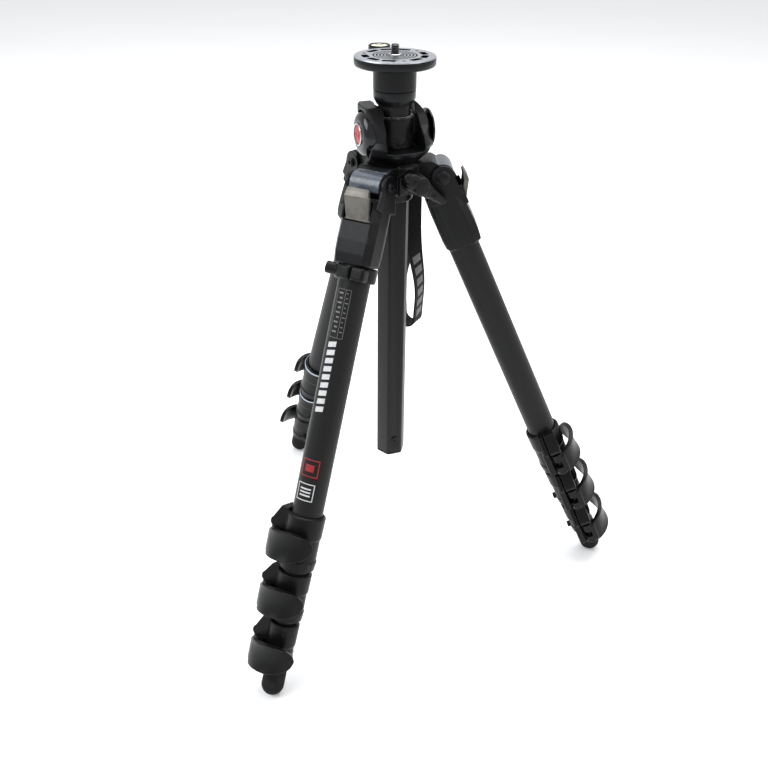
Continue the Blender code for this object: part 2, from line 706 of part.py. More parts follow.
def head_plate_shape():
    """The round head plate, with three groups of three slots and a hole for the screw."""
    body = turned(
        [
            (0.0, PLATE_TOP),
            (PLATE_RADIUS - 0.0006, PLATE_TOP),
            (PLATE_RADIUS, PLATE_TOP - 0.0006),
            (PLATE_RADIUS, PLATE_BOTTOM + 0.0012),
            (PLATE_RADIUS - 0.0014, PLATE_BOTTOM),
            (0.0, PLATE_BOTTOM),
        ],
        40,
    )
    cut = [cylinder(STUD_RADIUS + GAP, (0, 0, 0.45), (0, 0, 0.48), 14)]
    for group in range(3):
        for place in (-1, 0, 1):
            turn = Matrix.Rotation(math.radians(104 + 120 * group + 33 * place), 4, "Z")
            slot = box((0.0197, -0.0047, 0.45), (0.0243, 0.0047, 0.48), 0.0021, bevel_axis=2)
            cut.append(moved(slot, turn))
    return combined(body, cut=cut)


def head_screw_shape():
    tip = STUD_RADIUS - 0.0006
    profile = [(0.0, STUD_TOP), (tip, STUD_TOP), (STUD_RADIUS, STUD_TOP - 0.0006)]
    profile += [(STUD_RADIUS, PLATE_BOTTOM + GAP), (0.0, PLATE_BOTTOM + GAP)]
    return turned(profile, 14)


def lock_knob_shape():
    """The column's lock knob about its own screw: z runs out of the hub. Two wings stand off a round grip."""
    grip = cylinder(0.0082, (0, 0, 0.0003), (0, 0, 0.0160), 16, tip_radius=0.0066)
    wings = []
    for side in (-1, 1):
        wings.append(cylinder(0.0060, (0, 0, 0.0100), (side * 0.0135, 0, 0.0110), 12, tip_radius=0.0046))
    screw = cylinder(0.0030, (0, 0, -0.0080), (0, 0, 0.0050), 10)
    return combined(grip, [*wings, screw])


def lock_knob_place():
    """The knob sits on its boss, with its wings tilted."""
    outwards = polar(1.0, LOCK_KNOB_AZIMUTH, 0.0)
    side = Vector((-outwards.y, outwards.x, 0.0))
    frame = Matrix((side, outwards.cross(side), outwards)).transposed().to_4x4()
    start = Matrix.Translation(polar(0.027, LOCK_KNOB_AZIMUTH, LOCK_KNOB_HEIGHT))
    return start @ frame @ Matrix.Rotation(LOCK_KNOB_TILT, 4, "Z")


def strap_shape():
    """The carrying strap: a flat loop of webbing that hangs from the lug, its plane along the tangent."""
    half = STRAP_THICKNESS / 2
    low = STRAP_BOTTOM + STRAP_LOOP_RADIUS + half
    outline = [(STRAP_LOOP_RADIUS + half, STRAP_TOP)]
    outline += arc((0, low), STRAP_LOOP_RADIUS + half, 0, -180, 12)
    outline += [(-STRAP_LOOP_RADIUS - half, STRAP_TOP), (-STRAP_LOOP_RADIUS + half, STRAP_TOP)]
    outline += arc((0, low), STRAP_LOOP_RADIUS - half, -180, 0, 12)
    outline += [(STRAP_LOOP_RADIUS - half, STRAP_TOP)]
    shape = plate(outline, -STRAP_WIDTH / 2, STRAP_WIDTH / 2)
    place = Matrix.Rotation(STRAP_AZIMUTH - math.pi / 2, 4, "Z") @ Matrix.Translation((0, STRAP_RADIUS, 0))
    return moved(shape, place)


# --- assembly -------------------------------------------------------------------------------------------
def build_legs(root):
    casting = casting_shape().data
    bolt = bolt_shape().data
    selector = plate(selector_outline(), -SELECTOR_HALF_WIDTH, SELECTOR_HALF_WIDTH).data
    tubes = [tube_shape(i).data for i in range(len(TUBE_RADII))]
    collars = [collar_shape(i).data for i in range(len(LOCKS))]
    lever = lever_shape().data
    foot = foot_shape().data
    lean = Matrix.Rotation(-LEG_LEAN, 4, "Y")
    for letter, degrees in LEGS.items():
        place = Matrix.Rotation(math.radians(degrees), 4, "Z") @ Matrix.Translation((PIVOT_RADIUS, 0, PIVOT_HEIGHT))
        leg = empty(f"leg_{letter}_pivot", root, place @ lean)
        part(f"leg_{letter}_casting", casting, "casting", leg)
        part(f"leg_{letter}_pivot_bolt", bolt, "steel", leg)
        hinge = Matrix.Translation((SELECTOR_HINGE[0], 0, SELECTOR_HINGE[1]))
        part(f"leg_{letter}_angle_selector", selector, "tab", leg, hinge)
        for i, tube in enumerate(tubes):
            part(f"leg_{letter}_tube_{i + 1}", tube, "tube", leg)
        for i, lock in enumerate(LOCKS):
            part(f"leg_{letter}_collar_{i + 1}", collars[i], "lock", leg)
            out, along = lever_pin(lock)
            pin = Matrix.Translation((out - TUBE_INSET, along, -lock["lever"]))
            part(f"leg_{letter}_lever_{i + 1}", lever, "lock", leg, pin)
        part(f"leg_{letter}_foot", foot, "rubber", leg)
        if letter == "a":
            part("accessory_ring", accessory_ring_shape(), "lock", leg)


def build_middle(root):
    part("shoulder", shoulder_shape(), "casting", root)
    part("swing_bracket", yoke_shape(), "casting", root)
    part("bracket_cap_left", cap_shape(-1, recess=True), "pod", root)
    part("bracket_medallion", medallion_shape(-1), "medallion", root)
    part("bracket_cap_right", cap_shape(1, recess=False), "pod", root)
    part("column_sleeve", ring(SLEEVE_RADIUS, COLUMN_BORE, SLEEVE_TOP, YOKE_FLOOR + GAP), "lock", root)
    part("column_lock_knob", lock_knob_shape(), "lock", root, lock_knob_place())
    part("carrying_strap", strap_shape(), "webbing", root)

    part("column_tube", column_shape(), "tube", root)
    part("column_end_cap", end_cap_shape(), "lock", root)
    button = cylinder(END_BUTTON_RADIUS, button_axis(0.0075), button_axis(COLUMN_APOTHEM + 0.0008), 12)
    part("column_end_button", button, "lock", root)
    part("column_top_fitting", top_fitting_shape(), "lock", root)
    part("level_ring", level_ring_shape(), "lock", root)
    part("level_vial", vial_shape(), "vial", root)
    part("head_plate", head_plate_shape(), "plate", root)
    part("head_screw", head_screw_shape(), "steel", root)


tripod = empty("tripod", None, Matrix.Translation((*FOOTPRINT_SHIFT, 0)))
build_legs(tripod)
build_middle(tripod)
for leftover in list(HELPERS.objects):
    bpy.data.objects.remove(leftover, do_unlink=True)
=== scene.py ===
"""Looks of the compact camera tripod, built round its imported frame.

Metres, +Z up, in the frame's own coordinates. Leg pieces are modelled in the leg's frame: its origin is on
the leg's pivot, x points outwards, y runs along the pivot bolt and z points up the leg. Middle pieces are
modelled round the column's axis.
"""

import json
import math

import bmesh
import bpy
from mathutils import Matrix, Vector

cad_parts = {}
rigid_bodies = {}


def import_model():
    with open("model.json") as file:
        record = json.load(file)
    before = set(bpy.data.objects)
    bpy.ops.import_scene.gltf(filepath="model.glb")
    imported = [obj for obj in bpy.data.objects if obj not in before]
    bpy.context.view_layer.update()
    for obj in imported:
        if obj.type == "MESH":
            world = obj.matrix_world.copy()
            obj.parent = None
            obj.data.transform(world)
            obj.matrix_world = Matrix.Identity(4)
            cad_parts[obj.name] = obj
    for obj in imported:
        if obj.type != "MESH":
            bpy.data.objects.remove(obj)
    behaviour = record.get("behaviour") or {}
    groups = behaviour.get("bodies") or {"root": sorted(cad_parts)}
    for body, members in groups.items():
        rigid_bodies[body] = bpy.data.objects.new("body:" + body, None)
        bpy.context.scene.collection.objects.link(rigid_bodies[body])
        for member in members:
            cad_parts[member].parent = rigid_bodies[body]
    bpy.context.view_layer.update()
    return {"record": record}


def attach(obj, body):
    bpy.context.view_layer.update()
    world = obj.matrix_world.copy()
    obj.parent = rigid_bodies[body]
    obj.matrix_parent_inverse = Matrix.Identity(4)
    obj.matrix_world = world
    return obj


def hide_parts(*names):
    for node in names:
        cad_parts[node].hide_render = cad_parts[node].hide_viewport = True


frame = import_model()
JOINTS = {joint["name"]: joint for joint in frame["record"]["behaviour"]["joints"]}

# --- dimensions -----------------------------------------------------------------------------------------
LEGS = "abc"
CLEARANCE = 0.0003
PIVOT_HOLE = 0.0033
TUBE_INSET = 0.0064
TUBE_RADII = [0.0125, 0.0106, 0.0087, 0.0068]
TUBE_WALL = 0.0013
TUBE_ENDS = [(0.0146, 0.2967), (0.0163, 0.3407), (0.0180, 0.3807), (0.0197, 0.4035)]
LOCKS = [
    {"top": 0.2595, "bottom": 0.3050, "radius": 0.0153, "lever": 0.2880},
    {"top": 0.3082, "bottom": 0.3490, "radius": 0.0136, "lever": 0.3345},
    {"top": 0.3522, "bottom": 0.3890, "radius": 0.0120, "lever": 0.3813},
]
LOCK_BUSH = 0.0080
LEVER_PIN_OUT = 0.0040
LEVER_PIN_CLEAR = 0.0062
LEVER_ROOT_HEIGHT = 0.0226
CASTING_TOP = 0.0118
CASTING_BOTTOM = 0.0600
EAR_INNER = 0.0138
EAR_OUTER = 0.0164
BARREL_RADIUS = 0.0094
WEB_AZIMUTH = math.radians(300)
KNUCKLE_HALF = 0.0134
FOOT_RADIUS = 0.00935
FOOT_TOP = 0.3898
FOOT_TIP = 0.4173
HEAD_TURN = math.radians(20.0)
COLUMN_TURN = math.radians(-12.5)
SELECTOR_HINGE = (0.0080, -0.0272)
LEVER_RISE = 0.0070
SWING_HEIGHT = 0.4145
POD_FACE = 0.0260
HUB_TOP = 0.3950
YOKE_TOP = 0.4393
YOKE_BORE = 0.0152
YOKE_RADIUS = 0.0275
YOKE_FLOOR = 0.4045
YOKE_LEFT_TOP = 0.4352
YOKE_CUT_TOP = 0.4450
YOKE_SLOT = 0.0136
KNOB_HEIGHT = 0.3825
BUTTON_HEIGHT = 0.1388
BUTTON_AZIMUTH = COLUMN_TURN - math.pi / 3
LEVEL_AZIMUTH = math.radians(106.0)
VIAL_OUT = 0.0390
COLUMN_BORE = 0.0137
COLUMN_APOTHEM = 0.0114
COLUMN_BOTTOM = 0.1231
COLUMN_TOP = 0.4375
END_CAP_RIM = 0.0022
COLLAR_RADIUS = 0.0158
COLLAR_SEAM = 0.4452
PLATE_RADIUS = 0.0300
PLATE_BOTTOM = 0.4621
PLATE_TOP = 0.4691
STRAP_AZIMUTH = math.radians(60.0)
STRAP_RADIUS = 0.0335
STRAP_TURN = -55.0
STRAP_WIDTH = 0.0150
STRAP_THICKNESS = 0.0016
STRAP_LOOP_RADIUS = 0.0076
STRAP_TOP = 0.3725
STRAP_BOTTOM = 0.2370

CAMERA_FROM_COLUMN = (-0.0215, -0.6591, 0.5895)
CAMERA_AZIMUTH = math.radians(-1.32)
CAMERA_DOWN = math.radians(31.12)
CAMERA_ROLL = math.radians(0.40)
CAMERA_LENS = 40.68

column_axis = JOINTS["level_turn"]["pos_m"]
MIDDLE = Matrix.Translation((column_axis[0], column_axis[1], 0.0))


def leg_frame(letter):
    """The leg's frame at rest: y along the pivot bolt and z up the leg, read from the joints."""
    pivot = JOINTS[f"leg_{letter}_spread"]
    across = -Vector(pivot["axis"]).normalized()
    up = -Vector(JOINTS[f"leg_{letter}_slide_2"]["axis"]).normalized()
    out = across.cross(up)
    place = Matrix((out, across, up)).transposed().to_4x4()
    place.translation = pivot["pos_m"]
    return place


ON_TUBE = Matrix.Translation((-TUBE_INSET, 0, 0))
LEG_FRAMES = {letter: leg_frame(letter) for letter in LEGS}


# --- shapes ---------------------------------------------------------------------------------------------
HELPERS = bpy.data.collections.new("helpers")
PIECES = bpy.data.collections.new("pieces")
for collection in (HELPERS, PIECES):
    bpy.context.scene.collection.children.link(collection)


def helper_object(mesh):
    obj = bpy.data.objects.new("helper", mesh)
    HELPERS.objects.link(obj)
    return obj


def from_bmesh(shape):
    mesh = bpy.data.meshes.new("shape")
    shape.to_mesh(mesh)
    shape.free()
    return helper_object(mesh)


def baked(obj):
    """The object with its modifiers and its transform applied, as a mesh with merged points."""
    bpy.context.view_layer.update()
    evaluated = obj.evaluated_get(bpy.context.evaluated_depsgraph_get())
    mesh = bpy.data.meshes.new_from_object(evaluated)
    mesh.transform(obj.matrix_world)
    mesh.materials.clear()
    bpy.data.objects.remove(obj, do_unlink=True)
    shape = bmesh.new()
    shape.from_mesh(mesh)
    bmesh.ops.remove_doubles(shape, verts=shape.verts, dist=0.0000005)
    loose = [edge for edge in shape.edges if not edge.link_faces]
    bmesh.ops.delete(shape, geom=loose, context="EDGES")
    bmesh.ops.recalc_face_normals(shape, faces=shape.faces)
    shape.to_mesh(mesh)
    shape.free()
    return helper_object(mesh)


def moved(obj, matrix):
    obj.data.transform(matrix)
    return obj


def box(low, high, bevel=0.0, bevel_axis=None):
    """A box from its lowest and highest corners. bevel rounds its edges, or only those along bevel_axis."""
    low, high = Vector(low), Vector(high)
    shape = bmesh.new()
    size = Matrix.Diagonal((*(high - low), 1.0))
    bmesh.ops.create_cube(shape, size=1.0, matrix=Matrix.Translation((low + high) / 2) @ size)
    if bevel:
        edges = [
            edge
            for edge in shape.edges
            if bevel_axis is None
            or abs((edge.verts[0].co - edge.verts[1].co).normalized()[bevel_axis]) > 0.99
        ]
        bmesh.ops.bevel(shape, geom=edges, offset=bevel, segments=4, profile=0.5, affect="EDGES")
    return from_bmesh(shape)


def cylinder(radius, start, end, sides=48, tip_radius=None):
    """A cylinder, or a cone, from one point to another."""
    start, end = Vector(start), Vector(end)
    along = end - start
    turn = along.to_track_quat("Z", "Y").to_matrix().to_4x4()
    shape = bmesh.new()
    bmesh.ops.create_cone(
        shape,
        cap_ends=True,
        segments=sides,
        radius1=radius,
        radius2=radius if tip_radius is None else tip_radius,
        depth=along.length,
        matrix=Matrix.Translation((start + end) / 2) @ turn,
    )
    return from_bmesh(shape)


def ball(radius, centre, stretch=(1.0, 1.0, 1.0)):
    shape = bmesh.new()
    place = Matrix.Translation(centre) @ Matrix.Diagonal((*stretch, 1.0))
    bmesh.ops.create_uvsphere(shape, u_segments=48, v_segments=24, radius=radius, matrix=place)
    return from_bmesh(shape)


def turned(profile, steps=72, closed=False):
    """A turned solid about Z. The profile holds (radius, height) pairs, down the outer side first."""
    mesh = bpy.data.meshes.new("profile")
    edges = [(i, i + 1) for i in range(len(profile) - 1)]
    if closed:
        edges.append((len(profile) - 1, 0))
    mesh.from_pydata([(radius, 0.0, height) for radius, height in profile], edges, [])
    obj = helper_object(mesh)
    screw = obj.modifiers.new("Screw", "SCREW")
    screw.steps = screw.render_steps = steps
    screw.use_merge_vertices = True
    screw.merge_threshold = 0.00001
    return baked(obj)


def plate(outline, low, high):
    """A flat outline in the XZ plane, extruded along y from low to high."""
    curve = bpy.data.curves.new("outline", "CURVE")
    curve.dimensions = "2D"
    curve.fill_mode = "BOTH"
    curve.extrude = (high - low) / 2
    spline = curve.splines.new("POLY")
    spline.points.add(len(outline) - 1)
    for point, (x, z) in zip(spline.points, outline):
        point.co = (x, z, 0.0, 1.0)
    spline.use_cyclic_u = True
    obj = bpy.data.objects.new("outline", curve)
    HELPERS.objects.link(obj)
    obj.matrix_world = Matrix.Translation((0, (low + high) / 2, 0)) @ Matrix.Rotation(math.pi / 2, 4, "X")
    return baked(obj)


def arc(centre, radius, start, end, steps):
    """Points on an arc, from one angle to another, in degrees."""
    angles = [math.radians(start + (end - start) * i / steps) for i in range(steps + 1)]
    return [(centre[0] + radius * math.cos(a), centre[1] + radius * math.sin(a)) for a in angles]


def joined_once(base, tool, operation):
    """One Boolean, baked. It falls back to the exact solver if the quick one leaves nothing."""
    for solver in ("MANIFOLD", "EXACT"):
        copy = helper_object(base.data.copy())
        modifier = copy.modifiers.new(operation, "BOOLEAN")
        modifier.operation = operation
        modifier.solver = solver
        modifier.object = tool
        result = baked(copy)
        if result.data.polygons:
            break
        bpy.data.objects.remove(result, do_unlink=True)
    bpy.data.objects.remove(base, do_unlink=True)
    bpy.data.objects.remove(tool, do_unlink=True)
    return result


def combined(base, add=(), cut=()):
    """The base with other solids joined to it and then cut from it. The others are used up."""
    for operation, tools in (("UNION", add), ("DIFFERENCE", cut)):
        for tool in tools:
            base = joined_once(base, tool, operation)
    return base


def softened(obj, voxel=0.0005, rounds=5, keep=0.35):
    """A cast or moulded look: one even skin over the solid, with every edge rounded a little."""
    remesh = obj.modifiers.new("Remesh", "REMESH")
    remesh.mode = "VOXEL"
    remesh.voxel_size = voxel
    smooth = obj.modifiers.new("Smooth", "SMOOTH")
    smooth.factor = 0.5
    smooth.iterations = rounds
    if keep < 1:
        thin = obj.modifiers.new("Decimate", "DECIMATE")
        thin.ratio = keep
    return baked(obj)


def bevelled(obj, width, segments=2, over=30):
    """The object with each edge that is sharper than an angle rounded off."""
    bevel = obj.modifiers.new("Bevel", "BEVEL")
    bevel.width = width
    bevel.segments = segments
    bevel.limit_method = "ANGLE"
    bevel.angle_limit = math.radians(over)
    return baked(obj)


def finished(obj, angle=35):
    obj.data.shade_smooth()
    obj.data.set_sharp_from_angle(angle=math.radians(angle))
    return obj.data


def piece(name, shape, material, place, body, replaces=(), angle=35):
    """A visible piece from a helper or from a mesh that is already finished."""
    if isinstance(shape, bpy.types.Object):
        mesh = finished(shape, angle)
        bpy.data.objects.remove(shape, do_unlink=True)
    else:
        mesh = shape
    if not mesh.materials:
        mesh.materials.append(MATERIALS[material])
    obj = bpy.data.objects.new(name, mesh)
    PIECES.objects.link(obj)
    obj.matrix_world = place
    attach(obj, body)
    if replaces:
        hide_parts(*replaces)
    return obj


def shared(shape, material, angle=35):
    """A mesh that several pieces use."""
    mesh = finished(shape, angle)
    bpy.data.objects.remove(shape, do_unlink=True)
    mesh.materials.append(MATERIALS[material])
    return mesh


def polar(radius, azimuth, height):
    return Vector((radius * math.cos(azimuth), radius * math.sin(azimuth), height))


# --- materials ------------------------------------------------------------------------------------------
class Surface:
    """A Principled material with the nodes that shape its surface."""

    def __init__(self, name, colour, roughness, metallic=0.0, specular=0.5, coat=0.0, coat_roughness=0.1):
        self.material = bpy.data.materials.new(name)
        self.material.use_nodes = True
        self.tree = self.material.node_tree
        self.shader = self.tree.nodes["Principled BSDF"]
        self.colour = colour
        for socket, value in (
            ("Base Color", (*colour, 1.0)), ("Roughness", roughness), ("Metallic", metallic),
            ("Specular IOR Level", specular), ("Coat Weight", coat), ("Coat Roughness", coat_roughness),
        ):
            self.shader.inputs[socket].default_value = value
        self.roughness = roughness

    def node(self, kind, **settings):
        node = self.tree.nodes.new(kind)
        for name, value in settings.items():
            setattr(node, name, value)
        return node

    def link(self, source, target):
        self.tree.links.new(source, target)

    def position(self, scale=(1.0, 1.0, 1.0)):
        """Object coordinates, stretched."""
        coordinates = self.node("ShaderNodeTexCoord")
        mapping = self.node("ShaderNodeMapping")
        mapping.inputs["Scale"].default_value = scale
        self.link(coordinates.outputs["Object"], mapping.inputs["Vector"])
        return mapping.outputs["Vector"]

    def noise(self, scale, detail=4.0, stretch=(1.0, 1.0, 1.0)):
        noise = self.node("ShaderNodeTexNoise")
        noise.inputs["Scale"].default_value = scale
        noise.inputs["Detail"].default_value = detail
        self.link(self.position(stretch), noise.inputs["Vector"])
        return noise.outputs["Fac"]

    def math(self, operation, first, second=0.0):
        node = self.node("ShaderNodeMath", operation=operation)
        for socket, value in zip(node.inputs, (first, second)):
            if isinstance(value, (int, float)):
                socket.default_value = value
            else:
                self.link(value, socket)
        return node.outputs[0]

    def ramp(self, value, low, high):
        node = self.node("ShaderNodeMapRange")
        node.inputs["From Min"].default_value = low
        node.inputs["From Max"].default_value = high
        self.link(value, node.inputs["Value"])
        return node.outputs["Result"]

    def vary_colour(self, value, other):
        """Blends the colour with another one where the value is high."""
        mix = self.node("ShaderNodeMix", data_type="RGBA")
        mix.inputs["A"].default_value = (*self.colour, 1.0)
        mix.inputs["B"].default_value = (*other, 1.0)
        self.link(value, mix.inputs["Factor"])
        self.link(mix.outputs["Result"], self.shader.inputs["Base Color"])

    def vary_roughness(self, value, spread):
        node = self.node("ShaderNodeMapRange")
        node.inputs["To Min"].default_value = self.roughness - spread
        node.inputs["To Max"].default_value = self.roughness + spread
        self.link(value, node.inputs["Value"])
        self.link(node.outputs["Result"], self.shader.inputs["Roughness"])

    def bump(self, height, depth, strength=0.5):
        bump = self.node("ShaderNodeBump")
        bump.inputs["Strength"].default_value = strength
        bump.inputs["Distance"].default_value = depth
        self.link(height, bump.inputs["Height"])
        self.link(bump.outputs["Normal"], self.shader.inputs["Normal"])

    def worn_edges(self, colour, start=0.53, end=0.60):
        """Lighter where the surface turns a sharp corner."""
        geometry = self.node("ShaderNodeNewGeometry")
        edge = self.ramp(geometry.outputs["Pointiness"], start, end)
        patches = self.ramp(self.noise(300.0), 0.42, 0.58)
        self.vary_colour(self.math("MULTIPLY", edge, patches), colour)


def carbon():
    """A fine twill under clear lacquer: the threads cross on the tube's angle and its length."""
    surface = Surface(
        "carbon_tube", (0.0042, 0.0042, 0.0041), 0.42, specular=0.16, coat=0.03, coat_roughness=0.22
    )
    angle = surface.node("ShaderNodeTexGradient", gradient_type="RADIAL")
    surface.link(surface.position(), angle.inputs["Vector"])
    height = surface.node("ShaderNodeSeparateXYZ")
    surface.link(surface.position(), height.inputs["Vector"])
    around = surface.math("MULTIPLY", angle.outputs["Fac"], 2 * math.pi * 36)
    along = surface.math("MULTIPLY", height.outputs["Z"], 2 * math.pi / 0.0022)
    first = surface.math("SINE", surface.math("ADD", around, along))
    second = surface.math("SINE", surface.math("SUBTRACT", around, along))
    weave = surface.ramp(surface.math("MULTIPLY", first, second), -1.0, 1.0)
    surface.vary_colour(weave, (0.0085, 0.0085, 0.0082))
    surface.vary_roughness(weave, 0.05)
    surface.bump(weave, 0.00004, 0.25)
    return surface.material


def noisy(name, colour, roughness, tint=None, rough=None, grain=None, worn=None, **shader):
    """A material that follows noise. tint: the other colour, the noise's two limits, then the noise.
    rough: the spread, then the noise. grain: the bump's depth and strength, then the noise. worn: the colour
    of worn edges and, if given, the pointiness where they start and end."""
    surface = Surface(name, colour, roughness, **shader)
    if tint:
        other, low, high, *noise = tint
        surface.vary_colour(surface.ramp(surface.noise(*noise), low, high), other)
    if rough:
        spread, *noise = rough
        surface.vary_roughness(surface.noise(*noise), spread)
    if grain:
        depth, strength, *noise = grain
        surface.bump(surface.noise(*noise), depth, strength)
    if worn:
        surface.worn_edges(*worn)
    return surface.material


def plate_metal():
    """Anodised aluminium with turning marks round the plate's middle."""
    surface = Surface("plate_metal", (0.34, 0.355, 0.385), 0.34, metallic=0.85)
    rings = surface.node("ShaderNodeTexWave", wave_type="RINGS", rings_direction="Z")
    rings.inputs["Scale"].default_value = 900.0
    rings.inputs["Distortion"].default_value = 0.6
    surface.link(surface.position(), rings.inputs["Vector"])
    surface.vary_colour(surface.ramp(surface.noise(140.0, 6.0), 0.35, 0.75), (0.34, 0.35, 0.38))
    surface.vary_roughness(surface.noise(500.0), 0.08)
    surface.bump(rings.outputs["Fac"], 0.00003, 0.3)
    return surface.material


def brushed_tab():
    """Pressed steel, brushed across, with dull patches from wear."""
    surface = Surface("brushed_tab", (0.120, 0.113, 0.100), 0.42, metallic=0.75)
    brush = surface.noise(900.0, 4.0, (1.0, 0.06, 1.0))
    surface.vary_colour(surface.ramp(surface.noise(160.0, 5.0), 0.45, 0.70), (0.085, 0.080, 0.070))
    surface.vary_roughness(brush, 0.12)
    surface.bump(brush, 0.00004, 0.45)
    return surface.material


def webbing():
    """Flat nylon webbing: fine ribs across it, and threads along it."""
    surface = Surface("webbing", (0.0032, 0.0032, 0.0034), 0.80, specular=0.10)
    surface.shader.inputs["Sheen Weight"].default_value = 0.10
    split = surface.node("ShaderNodeSeparateXYZ")
    surface.link(surface.position(), split.inputs["Vector"])
    ribs = surface.math("SINE", surface.math("MULTIPLY", split.outputs["Z"], 2 * math.pi / 0.0011))
    threads = surface.math("SINE", surface.math("MULTIPLY", split.outputs["Y"], 2 * math.pi / 0.0013))
    weave = surface.ramp(surface.math("MULTIPLY", ribs, threads), -1.0, 1.0)
    surface.vary_colour(weave, (0.009, 0.009, 0.0095))
    surface.bump(weave, 0.00012, 0.6)
    return surface.material


def printed(name, colour):
    """Ink printed on a part, slightly rubbed. The same recipe also makes the painted highlight rings on leg
    c's collars.
    """
    rubbed = tuple(channel * 0.55 for channel in colour)
    return noisy(name, colour, 0.5, tint=(rubbed, 0.52, 0.78, 700.0, 4.0), specular=0.3)


MATERIALS = {
    "carbon": carbon(),
    "cast": noisy(
        "cast_paint", (0.0030, 0.0031, 0.0036), 0.34, specular=0.16,
        rough=(0.07, 180.0), grain=(0.00006, 0.35, 2600.0, 3.0), worn=((0.035, 0.037, 0.042),),
    ),
    # painted highlight: a lighter bluish grey for the barrels' upper faces, standing in for the sky's
    # reflection on their glossy paint; smooth, with random tone
    "barrel_highlight": noisy(
        "barrel_painted_highlight", (0.062, 0.072, 0.088), 0.24, specular=0.45,
        tint=((0.105, 0.118, 0.136), 0.50, 0.72, 420.0, 6.0), rough=(0.05, 260.0),
        grain=(0.00004, 0.3, 1800.0, 2.0),
    ),
    "plastic": noisy(
        "moulded_plastic", (0.0028, 0.0028, 0.0030), 0.36, specular=0.15,
        rough=(0.08, 240.0), grain=(0.00005, 0.4, 3200.0, 2.0), worn=((0.040, 0.040, 0.043), 0.515, 0.57),
    ),
    "gloss": noisy(
        "gloss_plastic", (0.0022, 0.0023, 0.0030), 0.12, specular=0.30, coat=0.15, coat_roughness=0.05,
        rough=(0.03, 90.0), grain=(0.00008, 0.15, 60.0, 2.0),
    ),
    "plate_metal": plate_metal(),
    "plate_side": noisy(
        "plate_side", (0.0030, 0.0032, 0.0038), 0.30, specular=0.18,
        rough=(0.06, 200.0), grain=(0.00004, 0.3, 2400.0, 2.0),
    ),
    "steel": noisy(
        "machined_steel", (0.56, 0.56, 0.57), 0.24, metallic=1.0,
        tint=((0.40, 0.40, 0.41), 0.4, 0.7, 700.0), rough=(0.08, 900.0),
        grain=(0.00003, 0.3, 1200.0, 3.0, (1, 1, 4)),
    ),
    # blackened screws, worn to a duller grey at their edges
    "dark_steel": noisy(
        "dark_steel", (0.030, 0.030, 0.032), 0.30, metallic=0.6,
        rough=(0.08, 600.0), grain=(0.00003, 0.3, 1500.0, 3.0), worn=((0.14, 0.14, 0.145),),
    ),
    # the dull black in the bottom of the plate's grooves
    "groove": noisy(
        "groove_black", (0.010, 0.010, 0.011), 0.60, specular=0.15,
        tint=((0.022, 0.022, 0.023), 0.4, 0.7, 900.0),
    ),
    # painted highlight: the pale ring in the mouth of the column's sleeve, standing in for a bright glint
    # there
    "glint_paint": noisy(
        "sleeve_painted_glint", (0.66, 0.66, 0.64), 0.45, specular=0.4,
        tint=((0.56, 0.56, 0.54), 0.4, 0.7, 300.0), grain=(0.00004, 0.3, 900.0),
    ),
    "tab": brushed_tab(),
    "red": noisy(
        "red_enamel", (0.26, 0.004, 0.008), 0.30, specular=0.35, coat=0.10, coat_roughness=0.10,
        tint=((0.34, 0.008, 0.012), 0.4, 0.7, 260.0), grain=(0.00005, 0.2, 150.0, 2.0),
    ),
    "rubber": noisy(
        "foot_rubber", (0.0060, 0.0059, 0.0057), 0.70, specular=0.12,
        tint=((0.014, 0.0135, 0.0125), 0.45, 0.75, 150.0, 6.0), grain=(0.00010, 0.5, 1800.0, 4.0),
    ),
    "webbing": webbing(),
    "ink_light": printed("ink_light", (0.46, 0.46, 0.47)),
    "ink_grey": printed("ink_grey", (0.13, 0.13, 0.128)),
    "ink_red": printed("ink_red", (0.24, 0.010, 0.012)),
    # painted highlight: a pale bluish grey for the rings on leg c's collar bevels, standing in for the sky's
    # reflection there
    "rim_painted_highlight": printed("rim_painted_highlight", (0.40, 0.45, 0.52)),
    "vial": noisy(
        "level_vial", (0.74, 0.72, 0.42), 0.08, specular=0.6, coat=0.8, coat_roughness=0.03,
        tint=((0.82, 0.80, 0.55), 0.3, 0.7, 120.0), grain=(0.00004, 0.1, 80.0, 1.0),
    ),
    "floor": noisy(
        "studio_floor", (0.93, 0.93, 0.93), 0.75, specular=0.1, tint=((0.915, 0.915, 0.92), 0.3, 0.7, 3.0)
    ),
}


# --- leg pieces -----------------------------------------------------------------------------------------
def rounded_section(inner, outer, half, flat_half):
    """A casting's cross-section, as (x, y) about the tube: round behind, flat in front, a ridge each side."""
    count = 10
    points = [(outer, -flat_half), (outer, flat_half)]
    side = (outer - 0.0055, half)
    points.append(side)
    points.append((-0.002, half))
    for i in range(1, count):
        angle = math.pi / 2 * i / count
        points.append((-0.002 - (inner - 0.002) * math.sin(angle), half * math.cos(angle) ** 0.75))
    points.append((-inner, 0.0))
    mirrored = [(x, -y) for x, y in reversed(points[2:-1])]
    return points + mirrored


def skinned(shape, rings):
    """Faces between each ring of points and the next one, and one over each end."""
    count = len(rings[0])
    for low, high in zip(rings, rings[1:]):
        for i in range(count):
            j = (i + 1) % count
            shape.faces.new((low[i], low[j], high[j], high[i]))
    shape.faces.new(rings[0])
    shape.faces.new(rings[-1])
    bmesh.ops.recalc_face_normals(shape, faces=shape.faces)


def lofted(sections):
    """A closed solid through cross-sections that have the same number of points, each at its own height."""
    shape = bmesh.new()
    rings = [[shape.verts.new((x, y, z)) for x, y in points] for z, points in sections]
    skinned(shape, rings)
    return from_bmesh(shape)


